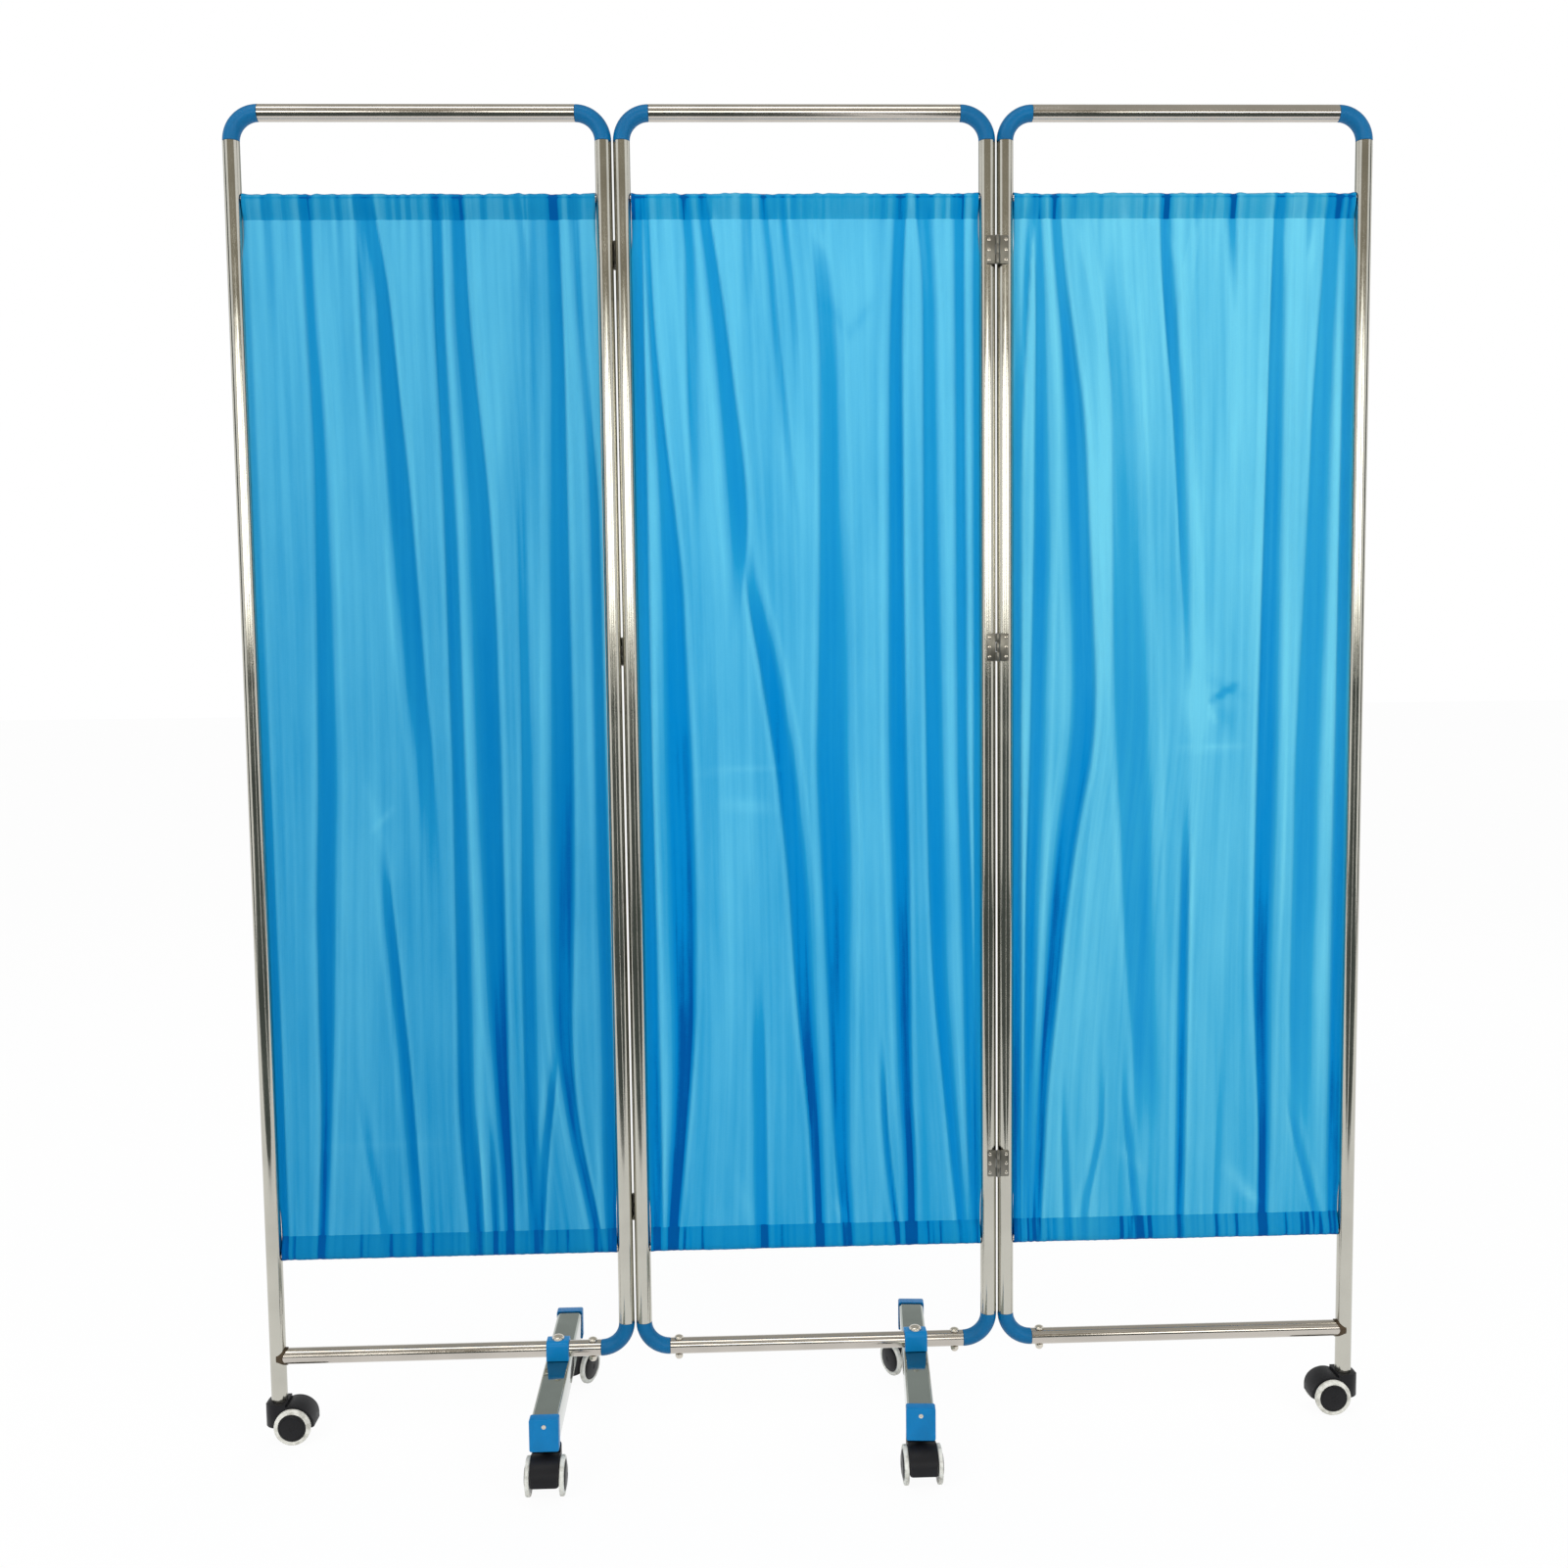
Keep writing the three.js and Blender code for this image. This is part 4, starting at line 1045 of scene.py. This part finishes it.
def curtain_form(panel):
    """Every point's place in millimetres, with x from the left edge, and how dark it is, painted
    shade and highlights included.
    """
    rng = np.random.default_rng(SEEDS[panel])
    height, behind, depth_share, doubled = (column[:, None] for column in curtain_rows().T)
    down = (CURTAIN_TOP / MM - height) / CURTAIN_LONG
    across = columns_along_folds(FOLDS[panel], down[:, 0])
    x = across * CURTAIN_WIDE
    inside, forward = gathered_folds(rng, FOLDS[panel], x, down[:, 0])
    crease_height, crease_painted_light = creases(panel, x, height)
    side = eased(across / EDGE) * eased((1 - across) / EDGE)
    swell = waves(rng, across, down, *SWELL)
    streaks = waves(rng, across, down, *STREAKS)
    ruffle = waves(rng, across, 0 * down, *RUFFLE)
    pucker = waves(rng, across, 0 * down, *PUCKER)
    at_head, at_hem = doubled * (down < 0.5), doubled * (down > 0.5)
    near_head = eased(1 - down / HEAD_CRIMP) * (1 - doubled)
    near_hem = eased(1 - (1 - down) / HEM_CRIMP) * (1 - doubled)

    # The folds, then the crimps of the header and the hem, which bulge round their rods.
    fold = VALLEY_DEPTH * (inside - 1.1 * forward) - crease_height
    fold = fold + side * (1.5 * swell + 0.3 * streaks)
    crimp = ruffle * (at_head + near_head) + pucker * (at_hem + near_hem)
    outward = np.where(behind < 0, -1.0, 1.0) * doubled * eased((np.abs(behind) - 1) / 3)
    y = behind + depth_share * (fold + 1.1 * crimp * (1 - 0.6 * doubled))
    y = y + outward * (0.4 + 0.4 * ruffle)

    # The side edges curl forward, and the top and bottom edges are wavy.
    curl = (1 - side) * eased((down - 0.03) / 0.03) * eased((0.97 - down) / 0.03)
    y = y - CURL_FORWARD * curl
    x = x + np.sign(across - 0.5) * CURL_OUT * curl ** 3
    z = height - (down < 0.003) * (1.1 + 1.3 * ruffle) * side
    z = z + (down > 0.997) * 0.5 * (1 + pucker) * side

    # Painted shade that grows towards the floor. Darker in the folds, partly for the cloth's layers
    # and partly as painted shade, with a painted highlight where the cloth stands forward.
    dark = 0.34 * down + 0.07 + (0.64 + 0.26 * down) * inside - 0.62 * forward - crease_painted_light
    # Painted light and shade that follows the swells and streaks which also shape the cloth.
    dark = dark + 0.13 * swell + 0.09 * streaks
    # Darker where the cloth is doubled, for its two layers, and painted shade where it is pinched
    # or crimped.
    painted_pinch_shade = eased((ruffle - 0.1) / 0.5) * at_head + eased((pucker - 0.1) / 0.5) * at_hem
    dark = dark + doubled * (0.28 - 0.2 * inside) + 0.36 * painted_pinch_shade + (0.1 + 0.2 * inside) * at_head
    dark = dark + (0.2 + 0.12 * swell - 0.25 * inside) * at_hem
    dark = dark + 0.16 * (near_head * ruffle + near_hem * pucker)
    # A painted shadow line of the rod under the frill, a painted highlight on the frill, and darker
    # turned edges.
    over_rod = height - ROD_Z / MM
    painted_rod_shadow = np.exp(-(over_rod / 1.2) ** 2) * (behind < 0) * at_head
    dark = dark + (0.3 + 0.3 * ruffle) * painted_rod_shadow - 0.12 * (over_rod > 2) * at_head
    dark = dark + 0.25 * doubled * (np.minimum(down, 1 - down) < 0.0015)
    return x, y, z, dark


def curtain(panel, finish):
    x, y, z, dark = curtain_form(panel)
    bm = bmesh.new()
    bm.loops.layers.uv.new("weave")
    lines, columns = x.shape
    bmesh.ops.create_grid(bm, x_segments=columns - 1, y_segments=lines - 1, size=1, calc_uvs=True)
    # The layers attribute carries curtain_form's painted shade and highlights as well as the
    # cloth's layers.
    layers = bm.verts.layers.float.new("layers")
    for vert in bm.verts:
        column = round((vert.co.x + 1) / 2 * (columns - 1))
        line = round((1 - vert.co.y) / 2 * (lines - 1))
        vert[layers] = float(np.clip(dark[line, column], 0, 1.5))
        vert.co = (PANELS[panel] + x[line, column] * MM - CURTAIN_HALF,
                   PLANE_Y + y[line, column] * MM, z[line, column] * MM)
    node = f"{panel}_curtain"
    made = piece(f"{node}_cloth", bm, node, finish, [node], 180)
    thickness = made.modifiers.new("cloth_thickness", "SOLIDIFY")
    thickness.thickness = CLOTH_THICKNESS
    thickness.offset = 0
    return made


def curtain_rod(panel, z, name, stands_for):
    reach = HALF_SPACING - TUBE_RADIUS + 4 * MM
    bar = moved(soften(cylinder(ROD_RADIUS, 2 * reach, 32), 0.4 * MM),
                to(PANELS[panel], PLANE_Y, z), ALONG_X)
    return piece(name, bar, f"{panel}_curtain_rod", LEVEL_STEEL, stands_for)


# One cloth in three copies: darker on the left and lighter on the right, painted shade and light
# across the screen.
CLOTHS = {
    "left": (tone(100, 197, 226), tone(32, 156, 206), tone(2, 134, 197)),
    "middle": (tone(109, 207, 234), tone(38, 168, 216), tone(2, 148, 212)),
    "right": (tone(125, 216, 236), tone(56, 177, 218), tone(6, 150, 212)),
}


def curtains():
    for panel, colours in CLOTHS.items():
        cloth = curtain(panel, curtain_cloth(f"cloth_{panel}", *colours))
        top = curtain_rod(panel, ROD_Z, f"{panel}_curtain_rod_bar", [f"{panel}_curtain_rod"])
        low = curtain_rod(panel, LOW_ROD_Z, f"{panel}_hem_rod_bar", [])


# Studio

WHITE = (1, 1, 1, 1)
WORLD_LIGHT = 0.7
FLOOR_WHITE = 0.955
FLOOR_Z = -0.2 * MM


def seen_rays(tree):
    """1 for the rays that show the background: from the camera, off metal, through glass."""
    rays = new_node(tree, "ShaderNodeLightPath", {})
    total = rays.outputs["Is Camera Ray"]
    for name in ("Is Glossy Ray", "Is Transmission Ray"):
        total = combine(tree, "MAXIMUM", total, rays.outputs[name])
    return total


def studio_world():
    world = bpy.data.worlds.new("studio")
    bpy.context.scene.world = world
    world.use_nodes = True
    tree = world.node_tree
    light = feed(tree, tree.nodes["Background"], {"Color": WHITE, "Strength": WORLD_LIGHT})
    white = new_node(tree, "ShaderNodeBackground", {"Color": WHITE})
    mixed(tree, seen_rays(tree), light, white, "World Output")


def studio_floor():
    """A pale floor that looks white and still shows a part of the screen's shadow."""
    bm = bmesh.new()
    bmesh.ops.create_grid(bm, x_segments=1, y_segments=1, size=30)
    moved(bm, to(0, 0, FLOOR_Z))
    floor = as_object(bm, "studio_floor")
    material, tree, shader = new_material("floor_pale")
    feed(tree, shader, {"Base Color": (0.85, 0.85, 0.85, 1), "Roughness": 0.9})
    glow = new_node(tree, "ShaderNodeEmission", {})
    share = combine(tree, "MULTIPLY", seen_rays(tree), FLOOR_WHITE)
    mixed(tree, share, shader, glow)
    floor.data.materials.append(material)


def lamp(name, place, size, power):
    light = bpy.data.lights.new(name, "AREA")
    light.shape = "RECTANGLE"
    light.size, light.size_y = size
    light.energy = power
    holder = bpy.data.objects.new(name, light)
    bpy.context.scene.collection.objects.link(holder)
    way = Vector(LAMP_TARGET) - Vector(place)
    holder.location = place
    holder.rotation_euler = way.to_track_quat("-Z", "Y").to_euler()
    # Lamps stay out of reflections; the glowing cards paint highlights there instead.
    holder.visible_glossy = False


def card(name, low, high, colour):
    """A studio card that only polished surfaces see, flat along one axis, between two corners: a
    painted reflection that lights nothing.
    """
    low, high = Vector(low), Vector(high)
    size = [far - near or 1 for near, far in zip(low, high)]
    facing = Matrix.Identity(4)
    if low.x == high.x:
        facing = about("Y", QUARTER)
    elif low.y == high.y:
        facing = about("X", QUARTER)
    bm = bmesh.new()
    bmesh.ops.create_grid(bm, x_segments=1, y_segments=1, size=0.5)
    moved(bm, to(*(low + high) / 2), Matrix.Diagonal((*size, 1)), facing)
    made = as_object(bm, name)
    material, tree, _ = new_material(name)
    glow = new_node(tree, "ShaderNodeEmission", {"Color": (*colour, 1)})
    feed(tree, tree.nodes["Material Output"], {"Surface": glow.outputs[0]})
    made.data.materials.append(material)
    made.visible_camera = made.visible_diffuse = made.visible_transmission = False
    made.visible_volume_scatter = made.visible_shadow = False


LAMP_TARGET = (0, 0, 0.95)

# Each lamp's place, size and power
LAMPS = {
    "key": ((-2.6, -3.0, 3.3), (1.8, 2.4), 78),
    "fill": ((2.9, -2.7, 2.4), (1.6, 2.4), 50),
    "back": ((0.5, 3.6, 2.8), (2.6, 2.2), 55),
}

DARK_GREY = (0.09, 0.105, 0.1)
BROWN_GREY = (0.34, 0.31, 0.25)
MID_GREY = (0.44, 0.46, 0.45)
WARM_GREY = (0.5, 0.49, 0.45)
PAINTED_HIGHLIGHT = (3.4, 3.35, 3.2)

# Each card's two corners and colour; the glowing ones are painted highlights and the dark ones
# painted dark bands in the polished steel
CARDS = {
    "floor_left": ((-4.5, -4.7, 0.02), (0.25, -1.15, 0.02), DARK_GREY),
    "floor_right": ((0.5, -4.7, 0.02), (4.5, -1.15, 0.02), DARK_GREY),
    "front_left": ((-5, -4.8, 0), (0.35, -4.8, 1.15), DARK_GREY),
    "front_right": ((0.8, -4.8, 0), (5, -4.8, 1.15), DARK_GREY),
    "front_wall": ((-5, -4.9, 1.1), (5, -4.9, 4.6), BROWN_GREY),
    "front_highlight_left": ((-4.2, -4.7, 1.25), (-1.5, -4.7, 2.45), PAINTED_HIGHLIGHT),
    "front_highlight_middle": ((-1.1, -4.7, 1.25), (0.9, -4.7, 2.5), PAINTED_HIGHLIGHT),
    "front_highlight_right": ((1.5, -4.7, 1.25), (4.2, -4.7, 2.4), PAINTED_HIGHLIGHT),
    "side_left": ((-4.6, -1.2, 0), (-4.6, 0.3, 3), DARK_GREY),
    "side_right": ((4.6, -1.2, 0), (4.6, 0.3, 3), DARK_GREY),
    "back_wall": ((-5, 4.8, 1.95), (5, 4.8, 5.2), MID_GREY),
    "ceiling": ((-4.5, -4.4, 4.7), (4.5, 4.4, 4.7), WARM_GREY),
    "ceiling_highlight": ((-3.2, -2.2, 4.6), (0.7, -1.1, 4.6), PAINTED_HIGHLIGHT),
}


def studio():
    studio_world()
    studio_floor()
    for name, settings in LAMPS.items():
        lamp(f"{name}_lamp", *settings)
    for name, settings in CARDS.items():
        card(f"card_{name}", *settings)


# Turned to the right, downward and on its side, in degrees
CAMERA_ANGLES = (2.025, 4.61, 0.671)
CAMERA_PLACE = (-0.1126, -2.1206, 1.0743)
CAMERA_LENS = 35.98


def camera():
    """The photograph's view."""
    yaw, pitch, roll = (math.radians(angle) for angle in CAMERA_ANGLES)
    forward = Vector((math.sin(yaw) * math.cos(pitch), math.cos(yaw) * math.cos(pitch),
                      -math.sin(pitch)))
    level = Vector((math.cos(yaw), -math.sin(yaw), 0))
    down = forward.cross(level)
    right = math.cos(roll) * level + math.sin(roll) * down
    up = math.sin(roll) * level - math.cos(roll) * down
    data = bpy.data.cameras.new("photo_camera")
    data.sensor_width = 36
    data.lens = CAMERA_LENS
    holder = bpy.data.objects.new("photo_camera", data)
    bpy.context.scene.collection.objects.link(holder)
    turn = Matrix((right, up, -forward)).transposed()
    holder.matrix_world = to(*CAMERA_PLACE) @ turn.to_4x4()
    bpy.context.scene.camera = holder


camera()
frames()
hinges()
feet()
for caster_name in CASTERS:
    caster(caster_name)
curtains()
studio()
bpy.context.scene.view_settings.view_transform = "Standard"

bpy.context.view_layer.update()
